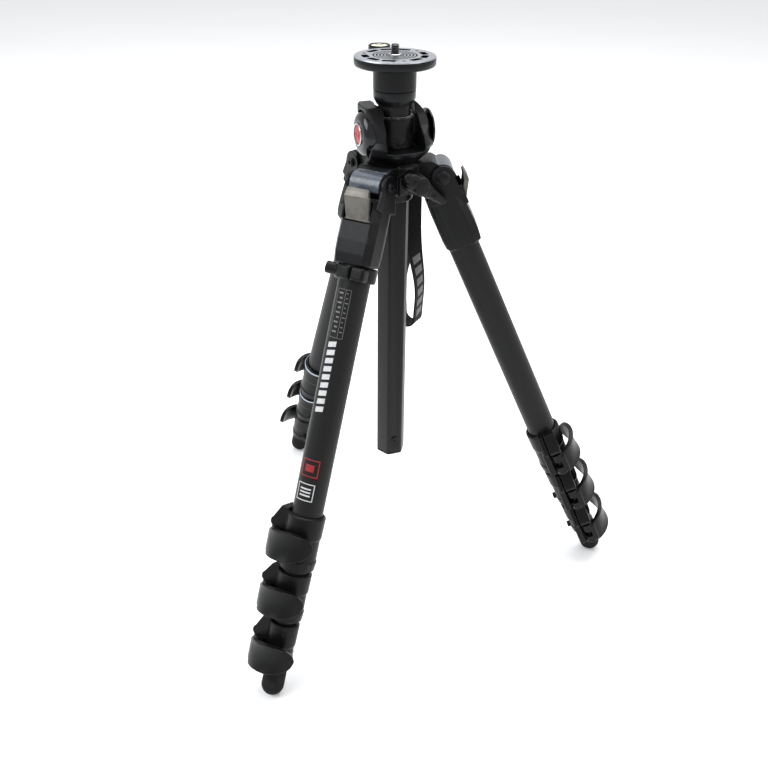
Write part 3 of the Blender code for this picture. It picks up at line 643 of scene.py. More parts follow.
def casting_mesh():
    """The upper casting: a sleeve with a flat outer face and a ridge down each side, and two round ears."""
    profile = [
        (CASTING_TOP, 0.0120, 0.0128, 0.0150, 0.0100),
        (CASTING_TOP + 0.0022, 0.0138, 0.0140, 0.0163, 0.0112), (0.0262, 0.0143, 0.0153, 0.0164, 0.0120),
        (0.0420, 0.0145, 0.0162, 0.0164, 0.0122), (0.0520, 0.0145, 0.0162, 0.0163, 0.0122),
        (0.0585, 0.0141, 0.0156, 0.0158, 0.0118), (CASTING_BOTTOM, 0.0134, 0.0148, 0.0151, 0.0112),
    ]
    sections = [(-down, rounded_section(*sizes)) for down, *sizes in profile]
    body = moved(lofted(sections), ON_TUBE)
    ears = []
    for side in (-1, 1):
        outline = arc((0, 0), 0.0090, -25, 165, 28)
        outline += [(-0.0150, -0.0080), (-0.0196, -CASTING_TOP - 0.0060), (0.0098, -CASTING_TOP - 0.0060)]
        ears.append(plate(outline, *sorted((side * EAR_INNER, side * EAR_OUTER))))
    cuts = [
        cylinder(TUBE_RADII[0] + CLEARANCE, (-TUBE_INSET, 0, -0.07), (-TUBE_INSET, 0, -0.0143), 64),
        cylinder(PIVOT_HOLE, (0, -0.03, 0), (0, 0.03, 0), 24),
        box((SELECTOR_HINGE[0] - 0.0011, -0.0110, SELECTOR_HINGE[1] - 0.0013), (0.03, 0.0110, -0.0068)),
    ]
    rails = []
    for middle in (-0.0122, 0.0122):
        rails.append(box((0.0040, middle - 0.0009, -0.0275), (0.0112, middle + 0.0009, -0.0120), 0.0006))
    shape = combined(body, ears + rails, cuts)
    return shared(softened(shape, 0.00045, 2, 0.30), "cast", 50)


def bolt_mesh():
    """The pivot bolt: a shaft with a broad domed head on one side and a small one on the other."""
    shaft = cylinder(0.0030, (0, 0, -0.0185), (0, 0, 0.0185), 32)
    low, high = EAR_OUTER + CLEARANCE, 0.0188
    heads = []
    for side, radius in ((-1, 0.0056), (1, 0.0034)):
        profile = [(0.0, high), (radius - 0.0020, high - 0.0001), (radius - 0.0007, high - 0.0006)]
        profile += [(radius, high - 0.0016), (radius, low), (0.0, low)]
        turn = Matrix.Rotation(0.0 if side > 0 else math.pi, 4, "X")
        heads.append(moved(turned(profile, 48), turn))
    shape = combined(shaft, heads, [cylinder(0.0018, (0, 0, 0.0178), (0, 0, 0.0210), 6)])
    return shared(moved(shape, Matrix.Rotation(-math.pi / 2, 4, "X")), "cast")


def selector_mesh():
    """The angle selector about its hinge: a leaning steel tab, a lip folded back and a flange each side."""
    half = 0.0101
    tab = [(0.0008, 0.0), (0.0096, 0.0160), (0.0087, 0.0223), (0.0075, 0.0222), (0.0083, 0.0164)]
    tab.append((-0.0004, 0.0006))
    flange = [(0.0004, 0.0006), (0.0094, 0.0160), (0.0085, 0.0215), (0.0068, 0.0215), (0.0060, 0.0170)]
    flange.append((0.0, 0.0060))
    lip = [(0.0098, 0.0170), (0.0130, 0.0170), (0.0130, 0.0240), (0.0086, 0.0240)]
    face = plate(tab, -half + 0.0005, half - 0.0005)
    sides, notches = [], []
    for side in (-1, 1):
        sides.append(plate(flange, *sorted((side * half, side * (half - 0.0012)))))
        # the lip is narrower at its top
        notch = plate([(side * y, z) for y, z in lip], -0.02, 0.02)
        notches.append(moved(notch, Matrix.Rotation(math.pi / 2, 4, "Z")))
    hinge = cylinder(0.0008, (0.0002, -half - 0.0004, 0.0002), (0.0002, half + 0.0004, 0.0002), 20)
    shape = combined(face, [*sides, hinge], notches)
    return shared(bevelled(shape, 0.0002), "tab", 40)


def tube_mesh(index):
    """A carbon tube, about its own axis, with a small chamfer at each end."""
    radius = TUBE_RADII[index]
    top, bottom = TUBE_ENDS[index]
    edge = 0.0003
    inner = radius - TUBE_WALL
    profile = [
        (radius - edge, -top), (radius, -top - edge), (radius, -bottom + edge), (radius - edge, -bottom),
        (inner, -bottom), (inner, -top),
    ]
    return shared(turned(profile, 72, closed=True), "carbon")


def lever_pin(lock):
    """Where a lever's pin stands, from the tube's axis: outwards, and along the bolt."""
    return LEVER_PIN_OUT, -(lock["radius"] + LEVER_PIN_CLEAR)


def collar_mesh(index):
    """A lock's clamp collar, with a slit, a hinge ear with a round end, and the block behind the lever."""
    lock = LOCKS[index]
    radius, top, bottom = lock["radius"], lock["top"], lock["bottom"]
    step = bottom - LOCK_BUSH
    tube_bore = TUBE_RADII[index] + CLEARANCE
    bush_bore = TUBE_RADII[index + 1] + CLEARANCE
    out, along = lever_pin(lock)
    middle = lock["lever"]
    lever_top = middle - LEVER_ROOT_HEIGHT / 2
    lever_bottom = middle + LEVER_ROOT_HEIGHT / 2
    body = turned(
        [
            (0.0, -top), (radius - 0.0014, -top), (radius + 0.0001, -top - 0.0012),
            (radius - 0.0002, -lever_top - 0.0010), (radius - 0.0010, -lever_top - 0.0024),
            (radius - 0.0010, -bottom + 0.0090), (radius - 0.0003, -bottom + 0.0078),
            (radius - 0.0011, -bottom), (0.0, -bottom),
        ]
    )
    # the ear reaches out to the hinge side above the lever, and its far end is round
    ear_low, ear_high = -lever_top + 0.0004, -top + 0.0024
    ear = plate(
        [(-radius + 0.003, ear_high), (-radius + 0.003, ear_low)]
        + arc((along - 0.0012, ear_low + 0.0042), 0.0042, -95, -235, 12)
        + [(along + 0.0026, ear_high - 0.0002)],
        -0.0090,
        0.0060,
    )
    ear = moved(ear, Matrix.Rotation(math.pi / 2, 4, "Z"))
    jaw = box(
        (-0.0080, along - 0.0032, -lever_bottom + 0.0006),
        (-0.0018, -radius + 0.0030, -lever_top + 0.0018),
        0.0016,
    )
    rib_low = (-0.0062, -radius - 0.0022, -bottom + 0.0010)
    rib_high = (0.0040, -radius + 0.0030, -bottom + 0.0072)
    rib = box(rib_low, rib_high, 0.0012)
    pin = cylinder(0.0020, (out, along, -lever_top + 0.004), (out, along, -lever_bottom + 0.001), 20)
    nub_height = -bottom + 0.0062
    nub = cylinder(0.0030, (-radius + 0.001, 0.0030, nub_height), (-radius - 0.0022, 0.0030, nub_height), 24)
    bore = turned(
        [
            (0.0, -top + 0.01), (tube_bore + 0.0004, -top + 0.01), (tube_bore + 0.0004, -top - 0.0010),
            (tube_bore, -top - 0.0014), (tube_bore, -step), (bush_bore, -step),
            (bush_bore, -bottom - 0.01), (0.0, -bottom - 0.01),
        ]
    )
    slit = box((-0.0022, -0.05, -lever_top - 0.0002), (-0.0010, -0.004, -top + 0.006))
    add = [ear, jaw, rib, pin] + ([nub] if index else [])
    shape = combined(body, add, [bore, slit])
    return shared(moved(softened(shape, 0.00042, 3, 0.30), ON_TUBE), "plastic", 60)


def ear_screw_mesh():
    """A small socket screw in the end of a collar's ear."""
    head = turned([(0.0, 0.0), (0.0018, 0.0), (0.0026, -0.0004), (0.0026, -0.0030), (0.0, -0.0030)], 28)
    return shared(combined(head, cut=[cylinder(0.0012, (0, 0, -0.0014), (0, 0, 0.001), 6)]), "steel")


def lever_mesh():
    """A lock lever about its pin: a dished oval thumb plate on a slotted round root."""
    columns, rows = 40, 18
    centre = (-0.0050, 0.0205)
    radius = 0.0245
    start, widest, end = math.radians(-66.0), math.radians(-4.0), math.radians(51.5)
    shape = bmesh.new()
    grid = []
    for i in range(columns + 1):
        angle = start + (end - start) * i / columns
        if angle > widest:
            past = (angle - widest) / (end - widest)
            half = 0.0121 * math.sqrt(max(0.0, 1 - past**2.2))
        else:
            near = (widest - angle) / (widest - start)
            half = 0.0121 - 0.0014 * near**1.6
        half = max(half, 0.0006)
        lift = LEVER_RISE * i / columns
        dish = math.sin(math.pi * min(1.0, max(0.0, (angle - start - 0.25) / 1.5)))
        row = []
        for j in range(rows + 1):
            across = 2 * j / rows - 1
            reach = radius - 0.0022 * (1 - across**2) * dish
            x, y = centre[0] + reach * math.cos(angle), centre[1] + reach * math.sin(angle)
            row.append(shape.verts.new((x, y, lift + half * across)))
        grid.append(row)
    for i in range(columns):
        for j in range(rows):
            shape.faces.new((grid[i][j], grid[i + 1][j], grid[i + 1][j + 1], grid[i][j + 1]))
    bmesh.ops.recalc_face_normals(shape, faces=shape.faces)
    sheet = from_bmesh(shape)
    solidify = sheet.modifiers.new("Solidify", "SOLIDIFY")
    solidify.thickness = 0.0040
    solidify.offset = 0.0
    sheet = baked(sheet)
    half_root = LEVER_ROOT_HEIGHT / 2 - 0.0002
    root = cylinder(0.0052, (0, 0, -half_root), (0, 0, half_root), 48)
    web = box((0.0, -0.0045, -half_root + 0.0012), (0.0070, 0.0020, half_root - 0.0012), 0.0015)
    bore = cylinder(0.0023, (0, 0, -0.02), (0, 0, 0.02), 24)
    slit = box((-0.0080, -0.0080, -0.0034), (0.0020, 0.0030, 0.0034), 0.0008)
    shape = combined(root, [sheet, web], [bore, slit])
    return shared(softened(shape, 0.00036, 3, 0.30), "plastic", 60)


def foot_mesh():
    """The round-ended rubber foot, with a lip and two fine grooves."""
    centre = FOOT_TIP - FOOT_RADIUS
    socket = TUBE_RADII[-1] + CLEARANCE
    profile = [(FOOT_RADIUS - 0.0010, -FOOT_TOP), (FOOT_RADIUS - 0.0001, -FOOT_TOP - 0.0008)]
    for groove in (FOOT_TOP + 0.0030, FOOT_TOP + 0.0052):
        profile += [
            (FOOT_RADIUS - 0.0001, -groove), (FOOT_RADIUS - 0.0004, -groove - 0.0003),
            (FOOT_RADIUS - 0.0001, -groove - 0.0006),
        ]
    profile += [(FOOT_RADIUS * math.cos(a), -centre - FOOT_RADIUS * math.sin(a)) for a in quarter(16)]
    profile[-1] = (0.0, -FOOT_TIP)
    profile += [(0.0, -FOOT_TOP - 0.0140), (socket, -FOOT_TOP - 0.0140), (socket, -FOOT_TOP)]
    return shared(turned(profile, 56, closed=True), "rubber", 50)


def quarter(steps):
    """Angles of a quarter turn."""
    return [math.pi / 2 * i / steps for i in range(steps + 1)]


def accessory_ring_shape():
    """The clamp ring under one casting: a split band with a socket on one side and a screw boss in front."""
    top, bottom = 0.0606, 0.0720
    middle = -(top + bottom) / 2
    body = turned(
        [
            (0.0, -top), (0.0152, -top), (0.0160, -top - 0.0010), (0.0160, -bottom + 0.0010),
            (0.0152, -bottom), (0.0, -bottom),
        ]
    )
    socket = cylinder(0.0048, (0.0040, -0.0130, middle), (0.0060, -0.0228, middle + 0.0006), 40)
    boss = box((0.0070, 0.0035, -bottom + 0.0004), (0.0172, 0.0152, -top - 0.0002), 0.0024)
    rib = box((0.0125, -0.0050, -bottom + 0.0012), (0.0168, 0.0020, -top - 0.0012), 0.0010)
    cuts = [
        cylinder(TUBE_RADII[0] + CLEARANCE, (0, 0, -0.09), (0, 0, -0.05), 64),
        cylinder(0.0034, (0.0050, -0.0180, middle), (0.0064, -0.0248, middle + 0.0007), 32),
        box((0.0080, 0.0026, -0.09), (0.0220, 0.0034, -0.05)),
    ]
    shape = combined(body, [socket, boss, rib], cuts)
    return moved(softened(shape, 0.00038, 2, 0.35), ON_TUBE)


def patch(radius, from_angle, to_angle, top, bottom, depth=0.00008):
    """A thin patch of ink bent round a tube, between two angles and two distances down the leg."""
    steps = max(2, int(abs(to_angle - from_angle) / 4))
    shape = bmesh.new()
    rings = []
    for i in range(steps + 1):
        angle = math.radians(from_angle + (to_angle - from_angle) * i / steps)
        corners = [(radius, top), (radius, bottom), (radius + depth, bottom), (radius + depth, top)]
        rings.append([shape.verts.new((r * math.cos(angle), r * math.sin(angle), -s)) for r, s in corners])
    skinned(shape, rings)
    return shape


def slanted_patch(radius, from_angle, to_angle, top, bottom, slant):
    """A patch whose top and bottom edges climb along its width."""
    shape = patch(radius, from_angle, to_angle, top, bottom)
    span = math.radians(to_angle - from_angle)
    start = math.radians(from_angle)
    for vert in shape.verts:
        share = (math.atan2(vert.co.y, vert.co.x) - start) / span
        vert.co.z += slant * share
    return shape


def gathered(shapes):
    """Several bmeshes as one helper."""
    mesh = bpy.data.meshes.new("gathered")
    whole = bmesh.new()
    for shape in shapes:
        part = bpy.data.meshes.new("part")
        shape.to_mesh(part)
        shape.free()
        whole.from_mesh(part)
        bpy.data.meshes.remove(part)
    whole.to_mesh(mesh)
    whole.free()
    return helper_object(mesh)


def outlined(radius, left, right, top, bottom, line):
    """A rectangular frame of ink round a tube. line is the width of its line."""
    turn = math.degrees(line / radius)
    return [
        patch(radius, left, right, top, top + line),
        patch(radius, left, right, bottom - line, bottom),
        patch(radius, left, left + turn, top + line, bottom - line),
        patch(radius, right - turn, right, top + line, bottom - line),
    ]


def tube_marks():
    """Plain printed marks on leg a: a boxed panel of short lines, a row of bars, and two small squares."""
    radius = TUBE_RADII[0] + 0.00002
    label = outlined(radius, -28, 26, 0.0790, 0.1165, 0.0003)
    label.append(patch(radius, 6, 7.2, 0.0795, 0.1160))
    for i in range(9):
        top = 0.0815 + 0.0037 * i
        label.append(patch(radius, -20 + 6 * (i % 2), -2, top, top + 0.0012))
        label.append(patch(radius, 11, 17 + 2 * (i % 3), top, top + 0.0007))
    bars = []
    for i in range(9):
        top = 0.1205 + 0.0064 * i
        bars.append(slanted_patch(radius, -24, 9, top, top + 0.0041, 0.0016))
    square = outlined(radius, -32, 36, 0.2325, 0.2465, 0.0007)
    for i in range(3):
        square.append(patch(radius, -18, 24, 0.2362 + 0.0027 * i, 0.2374 + 0.0027 * i))
    red = outlined(radius, -30, 38, 0.2130, 0.2270, 0.0008)
    red.append(patch(radius, -14, 20, 0.2172, 0.2228))
    return {
        "ink_bars": (gathered(bars), "ink_light"),
        "ink_panel": (gathered(label), "ink_grey"),
        "ink_square": (gathered(square), "ink_light"),
        "ink_red": (gathered(red), "ink_red"),
    }


def build_leg(letter, meshes):
    place = LEG_FRAMES[letter]
    leg = f"leg_{letter}_"
    upper = leg + "upper"
    on_tube = place @ ON_TUBE
    hinge = Matrix.Translation((SELECTOR_HINGE[0], 0, SELECTOR_HINGE[1]))
    selector, hinged = leg + "selector", place @ hinge
    piece(leg + "casting_skin", meshes["casting"], None, place, upper, [leg + "casting"])
    piece(leg + "bolt_skin", meshes["bolt"], None, place, "shoulder", [leg + "pivot_bolt"])
    piece(leg + "selector_skin", meshes["selector"], None, hinged, selector, [leg + "angle_selector"])
    owners = [upper, leg + "section_2", leg + "section_3", leg + "section_4"]
    for i, owner in enumerate(owners):
        tube = f"{leg}tube_{i + 1}"
        piece(tube + "_skin", meshes["tubes"][i], None, on_tube, owner, [tube])
    for i, (lock, owner) in enumerate(zip(LOCKS, owners)):
        collar, lever = f"{leg}collar_{i + 1}", f"{leg}lever_{i + 1}"
        out, along = lever_pin(lock)
        lever_top = lock["lever"] - LEVER_ROOT_HEIGHT / 2
        pin = Matrix.Translation((out - TUBE_INSET, along, -lock["lever"]))
        screw = Matrix.Translation((0.0063 - TUBE_INSET, along - 0.0005, -lever_top + 0.0046))
        screw_place = place @ screw @ Matrix.Rotation(math.pi / 2, 4, "Y")
        piece(collar + "_skin", meshes["collars"][i], None, place, owner, [collar])
        piece(lever + "_skin", meshes["lever"], None, place @ pin, f"{leg}lock_{i + 1}", [lever])
        piece(f"{leg}ear_screw_{i + 1}", meshes["screw"], None, screw_place, owner)
    piece(leg + "foot_skin", meshes["foot"], None, place, leg + "section_4", [leg + "foot"])


def build_legs():
    meshes = {
        "casting": casting_mesh(),
        "bolt": bolt_mesh(),
        "selector": selector_mesh(),
        "tubes": [tube_mesh(i) for i in range(len(TUBE_RADII))],
        "collars": [collar_mesh(i) for i in range(len(LOCKS))],
        "lever": lever_mesh(),
        "screw": ear_screw_mesh(),
        "foot": foot_mesh(),
    }
    meshes["foot"].transform(ON_TUBE)
    for letter in LEGS:
        build_leg(letter, meshes)
    place = LEG_FRAMES["a"]
    ring = accessory_ring_shape()
    piece("accessory_ring_skin", ring, "plastic", place, "leg_a_upper", ["accessory_ring"])
    for name, (marks, ink) in tube_marks().items():
        piece(f"leg_a_{name}", marks, ink, place @ ON_TUBE, "leg_a_upper")
    # painted highlight: pale rings over the top edges of leg c's two upper collars
    for i, owner in enumerate(("leg_c_upper", "leg_c_section_2")):
        rim = turned_rim(LOCKS[i])
        piece(f"leg_c_highlight_rim_{i + 1}", rim, "rim_painted_highlight", LEG_FRAMES["c"] @ ON_TUBE, owner)


def turned_rim(lock):
    """A thin grey ring round a collar's upper edge: a painted highlight standing in for the sky's reflection
    on the collar's top bevel.
    """
    top, radius = lock["top"], lock["radius"]
    outer = radius + 0.0004
    return turned(
        [
            (outer - 0.0002, -top - 0.0016), (outer, -top - 0.0018), (outer, -top - 0.0032),
            (outer - 0.0002, -top - 0.0034), (radius - 0.0006, -top - 0.0034),
            (radius - 0.0006, -top - 0.0016),
        ],
        closed=True,
    )


# --- middle pieces --------------------------------------------------------------------------------------
def shoulder_shape():
    """The hub that carries the legs: a round body, a skirt and three arms that end in domed knuckles."""
    pivot = LEG_FRAMES["b"].translation - Vector((column_axis[0], column_axis[1], 0.0))
    reach, height = pivot.x, pivot.z
    body = turned(
        [
            (0.0, HUB_TOP), (0.0195, HUB_TOP), (0.0222, HUB_TOP - 0.0030), (0.0226, 0.3830),
            (0.0205, 0.3770), (0.0156, 0.3735), (0.0152, 0.3640), (0.0146, 0.3630), (0.0, 0.3630),
        ]
    )
    add, cut = [], []
    for letter in LEGS:
        pivot = LEG_FRAMES[letter].translation
        azimuth = math.atan2(pivot.y - column_axis[1], pivot.x - column_axis[0])
        turn = Matrix.Rotation(azimuth, 4, "Z")
        outline = [(0.0080, HUB_TOP - 0.0010), (0.0215, HUB_TOP - 0.0012), (reach - 0.0080, height + 0.0115)]
        for angle in (1.9, 1.6, 1.2, 0.7):
            around = BARREL_RADIUS * math.cos(angle), BARREL_RADIUS * math.sin(angle)
            outline.append((reach + around[0], height + around[1]))
        outline += [(reach, 0.3728), (0.0180, 0.3728), (0.0080, 0.3700)]
        arm = plate(outline, -KNUCKLE_HALF, KNUCKLE_HALF)
        knuckle = cylinder(BARREL_RADIUS, (reach, -KNUCKLE_HALF, height), (reach, KNUCKLE_HALF, height), 64)
        hole = cylinder(PIVOT_HOLE, (reach, -0.03, height), (reach, 0.03, height), 24)
        add += [moved(arm, turn), moved(knuckle, turn)]
        cut.append(moved(hole, turn))
    # a web with an arched edge fills the corner between two arms
    web = box((0.0100, -0.0095, 0.3700), (0.0240, 0.0095, 0.3860), 0.0015)
    add.append(moved(web, Matrix.Rotation(WEB_AZIMUTH, 4, "Z")))
    arch = cylinder(0.0150, (0.0195, 0, 0.3590), (0.0300, 0, 0.3590), 48)
    cut.append(moved(arch, Matrix.Rotation(WEB_AZIMUTH, 4, "Z")))
    knob = math.radians(300.0)
    boss_start, boss_end = polar(0.015, knob, KNOB_HEIGHT), polar(0.0268, knob, KNOB_HEIGHT)
    boss = cylinder(0.0086, boss_start, boss_end, 40, tip_radius=0.0076)
    lug = box((0.016, -0.0095, STRAP_TOP + CLEARANCE), (STRAP_RADIUS + 0.0075, 0.0095, 0.3850), 0.0022)
    add += [boss, moved(lug, Matrix.Rotation(STRAP_AZIMUTH, 4, "Z"))]
    cut.append(cylinder(0.0033, polar(0.018, knob, KNOB_HEIGHT), polar(0.040, knob, KNOB_HEIGHT), 24))
    cut.append(cylinder(COLUMN_BORE, (0, 0, 0.35), (0, 0, 0.41), 72))
    shape = softened(combined(body, add, cut), 0.00060, 3, 0.35)
    # painted highlight: the upper faces of each barrel between the ears get the lighter bluish grey that
    # stands in for the sky's reflection
    shape.data.materials.append(MATERIALS["cast"])
    shape.data.materials.append(MATERIALS["barrel_highlight"])
    for letter in LEGS:
        pivot = LEG_FRAMES[letter].translation - MIDDLE.translation
        out = Vector((pivot.x, pivot.y, 0)).normalized()
        for face in shape.data.polygons:
            offset = face.center - pivot
            along = offset.cross(out).z
            upper = offset.dot(out) > -0.0045 and offset.z > -0.002
            if upper and offset.length < 0.0165 and abs(along) < KNUCKLE_HALF - 0.0012:
                face.material_index = 1
    return shape


def yoke_half(side, profile):
    """One half of the bracket's outside, turned about the column's axis."""
    near, far = sorted((-side * 0.0004, -side * 0.05))
    return combined(turned(profile, 96), cut=[box((near, -0.05, 0.38), (far, 0.05, 0.46))])


def yoke_shape():
    """The swing bracket: two cheeks beside the column, cut away in a curve in front and behind."""
    seat = HUB_TOP + CLEARANCE
    foot = [(0.0298, 0.4075), (0.0270, 0.4010), (0.0225, 0.3970), (0.0210, seat), (0.0, seat)]
    square = [(0.0, YOKE_LEFT_TOP), (YOKE_RADIUS - 0.0006, YOKE_LEFT_TOP)]
    square += [(YOKE_RADIUS, YOKE_LEFT_TOP - 0.0008), (YOKE_RADIUS, 0.4120)]
    crown = arc((0, SWING_HEIGHT), YOKE_RADIUS - 0.0006, 56, 0, 18)
    crown = [(0.0, crown[0][1]), *crown]
    cuts = [
        cylinder(YOKE_BORE, (0, 0, YOKE_FLOOR), (0, 0, YOKE_TOP + 0.01), 64),
        box((-YOKE_BORE, -0.05, YOKE_FLOOR), (YOKE_BORE, 0.05, 0.4285)),
        box((-YOKE_SLOT, -0.05, 0.4275), (YOKE_SLOT, 0.05, YOKE_TOP + 0.01)),
        cylinder(COLUMN_BORE, (0, 0, 0.39), (0, 0, 0.42), 64),
    ]
    # each cheek's front edge drops in a curve, the left one a little higher than the right one
    left = [(0.0010, 0.4430), (0.0065, 0.4395), (0.0150, 0.4300), (0.0240, 0.4190), (0.0280, 0.4090)]
    left.append((0.0300, YOKE_FLOOR))
    right = [(-0.0030, 0.4430), (0.0030, 0.4330), (0.0070, 0.4280), (0.0140, 0.4210), (0.0230, 0.4140)]
    right.append((0.0290, YOKE_FLOOR))
    back = [(0.0090, 0.4430), (0.0160, 0.4320), (0.0220, 0.4215), (0.0260, 0.4120), (0.0290, YOKE_FLOOR)]
    for side, edge, low, high in ((-1, left, -0.05, 0.0), (-1, right, 0.0, 0.05), (1, back, -0.05, 0.05)):
        edge = [(side * y, z) for y, z in edge]
        past = side * 0.045
        outline = [(edge[0][0], YOKE_CUT_TOP), *edge, (past, YOKE_FLOOR), (past, YOKE_CUT_TOP)]
        cuts.append(moved(plate(outline, -high, -low), Matrix.Rotation(math.pi / 2, 4, "Z")))
    for side in (-1, 1):
        near, far = sorted((side * POD_FACE, side * 0.05))
        cuts.append(box((near, -0.05, 0.39), (far, 0.05, 0.46)))
    # the hollow that the left dome fills
    cuts.append(cylinder(0.0175, (-0.0183, 0, SWING_HEIGHT), (-0.0400, 0, SWING_HEIGHT), 72))
    shape = combined(yoke_half(-1, square + foot), [yoke_half(1, crown + foot)], cuts)
    return moved(softened(shape, 0.00045, 2, 0.35), Matrix.Rotation(HEAD_TURN, 4, "Z"))


def facing_side(side):
    """Turns a shape that is turned about Z so that its axis runs out of one side of the yoke."""
    swing = Matrix.Rotation(HEAD_TURN, 4, "Z") @ Matrix.Translation((0, 0, SWING_HEIGHT))
    return swing @ Matrix.Rotation(side * math.pi / 2, 4, "Y")


def pod_shape(side, recess):
    """A glossy dome over the bracket's pivot, with a round recess if it holds the medallion."""
    low, crown = POD_FACE + CLEARANCE, POD_FACE + 0.0030
    if recess:
        # a deep bulging dome that fills the cheek's hollow
        profile = [(0.0086, crown - 0.0002)]
        for a in quarter(20)[:-1]:
            profile.append((0.0090 + 0.0082 * math.sin(a) ** 0.8, 0.0186 + 0.0102 * math.cos(a) ** 0.7))
        profile += [(0.0172, 0.0186), (0.0086, 0.0186)]
        shape = turned(profile, 96, closed=True)
    else:
        radius, rise = 0.0150, crown - low - 0.0012
        profile = [(radius * math.sin(a), low + 0.0010 + rise * math.cos(a)) for a in quarter(14)]
        shape = turned([*profile, (radius, low), (0.0, low)])
    return moved(shape, facing_side(side))


def medallion_shapes():
    """A plain red disc with a small raised ring, in a silver rim."""
    low = POD_FACE + 0.0014
    top = low + 0.0026
    disc = turned(
        [
            (0.0, top - 0.0006), (0.0018, top - 0.0006), (0.0022, top - 0.0002), (0.0034, top - 0.0002),
            (0.0038, top - 0.0006), (0.0066, top - 0.0008), (0.0070, top - 0.0012), (0.0070, low),
            (0.0, low),
        ]
    )
    rim = turned(
        [(0.0078, top), (0.0084, top - 0.0004), (0.0084, low), (0.0071, low), (0.0071, top - 0.0004)],
        closed=True,
    )
    return moved(disc, facing_side(-1)), moved(rim, facing_side(-1))


def sleeve_shape():
    """The column's sleeve, with a fine lip round its mouth."""
    return turned(
        [
            (0.0140, 0.4276), (0.0145, 0.4276), (0.0149, 0.4272), (0.0149, 0.4262), (0.0146, 0.4258),
            (0.0146, 0.4052), (0.0143, 0.4048), (COLUMN_BORE + 0.0001, 0.4048),
            (COLUMN_BORE + 0.0001, 0.4270),
        ],
        closed=True,
    )


def mouth_glint_shape():
    """A pale ring that shows in the sleeve's mouth, between the column and the sleeve: a painted highlight
    for the bright glint there.
    """
    glint_ring = turned([(0.0136, 0.4274), (0.0136, 0.4200), (0.0129, 0.4200), (0.0129, 0.4274)], 96, closed=True)
    return combined(glint_ring, cut=[hexagon(COLUMN_APOTHEM + CLEARANCE, 0.40, 0.45, 0.0016)])


def hexagon(apothem, bottom, top, corner):
    """A six-sided bar about Z with rounded corners, turned with the column."""
    shape = bmesh.new()
    radius = apothem / math.cos(math.pi / 6)
    place = Matrix.Translation((0, 0, (bottom + top) / 2)) @ Matrix.Rotation(COLUMN_TURN, 4, "Z")
    bmesh.ops.create_cone(
        shape, cap_ends=True, segments=6, radius1=radius, radius2=radius, depth=top - bottom, matrix=place
    )
    upright = [e for e in shape.edges if abs(e.verts[0].co.z - e.verts[1].co.z) > (top - bottom) / 2]
    bmesh.ops.bevel(shape, geom=upright, offset=corner, segments=5, profile=0.5, affect="EDGES")
    return from_bmesh(shape)


def button_axis(radius):
    return polar(radius, BUTTON_AZIMUTH, BUTTON_HEIGHT)


def column_shape():
    body = hexagon(COLUMN_APOTHEM, COLUMN_BOTTOM + END_CAP_RIM + CLEARANCE, COLUMN_TOP, 0.0016)
    inside = cylinder(0.0098, (0, 0, COLUMN_BOTTOM - 0.01), (0, 0, COLUMN_TOP + 0.01), 48)
    hole = cylinder(0.0034, button_axis(0.005), button_axis(0.020), 32)
    return bevelled(combined(body, cut=[inside, hole]), 0.0002, over=50)


def end_cap_shape():
    """The plug in the column's lower end, rounded underneath."""
    rim = hexagon(COLUMN_APOTHEM - 0.0001, COLUMN_BOTTOM, COLUMN_BOTTOM + END_CAP_RIM, 0.0016)
    rim = bevelled(rim, 0.0007, 3, 50)
    plug = cylinder(0.0095, (0, 0, COLUMN_BOTTOM + 0.001), (0, 0, 0.1468), 40)
    return combined(rim, [plug], [cylinder(0.0034, button_axis(0.0040), button_axis(0.020), 32)])


def end_button_shape():
    """The round button, with a dimple in its face."""
    length = COLUMN_APOTHEM + 0.0008
    profile = [
        (0.0, length - 0.0004), (0.0014, length - 0.0004), (0.0020, length), (0.0027, length),
        (0.0031, length - 0.0004), (0.0031, 0.0075), (0.0, 0.0075),
    ]
    outwards = Matrix.Rotation(BUTTON_AZIMUTH, 4, "Z") @ Matrix.Rotation(math.pi / 2, 4, "Y")
    return moved(turned(profile, 32), Matrix.Translation((0, 0, BUTTON_HEIGHT)) @ outwards)


def top_fitting_shape():
    """The fitting on the column's top: a collar that flares out from the tube, and a neck for the level."""
    profile = [
        (0.0, PLATE_BOTTOM - CLEARANCE), (0.0100, PLATE_BOTTOM - CLEARANCE), (0.0100, COLLAR_SEAM),
        (COLLAR_RADIUS - 0.0002, COLLAR_SEAM), (COLLAR_RADIUS, COLLAR_SEAM - 0.0002),
        (COLLAR_RADIUS, COLLAR_SEAM - 0.0056), (COLLAR_RADIUS - 0.0004, COLLAR_SEAM - 0.0064),
        (0.0135, COLLAR_SEAM - 0.0100), (0.0132, COLLAR_SEAM - 0.0100), (0.0132, COLUMN_TOP + CLEARANCE),
        (0.0095, COLUMN_TOP + CLEARANCE), (0.0095, COLUMN_TOP - 0.012), (0.0, COLUMN_TOP - 0.012),
    ]
    return turned(profile, 96)


def level_turn_matrix():
    return Matrix.Rotation(LEVEL_AZIMUTH, 4, "Z")


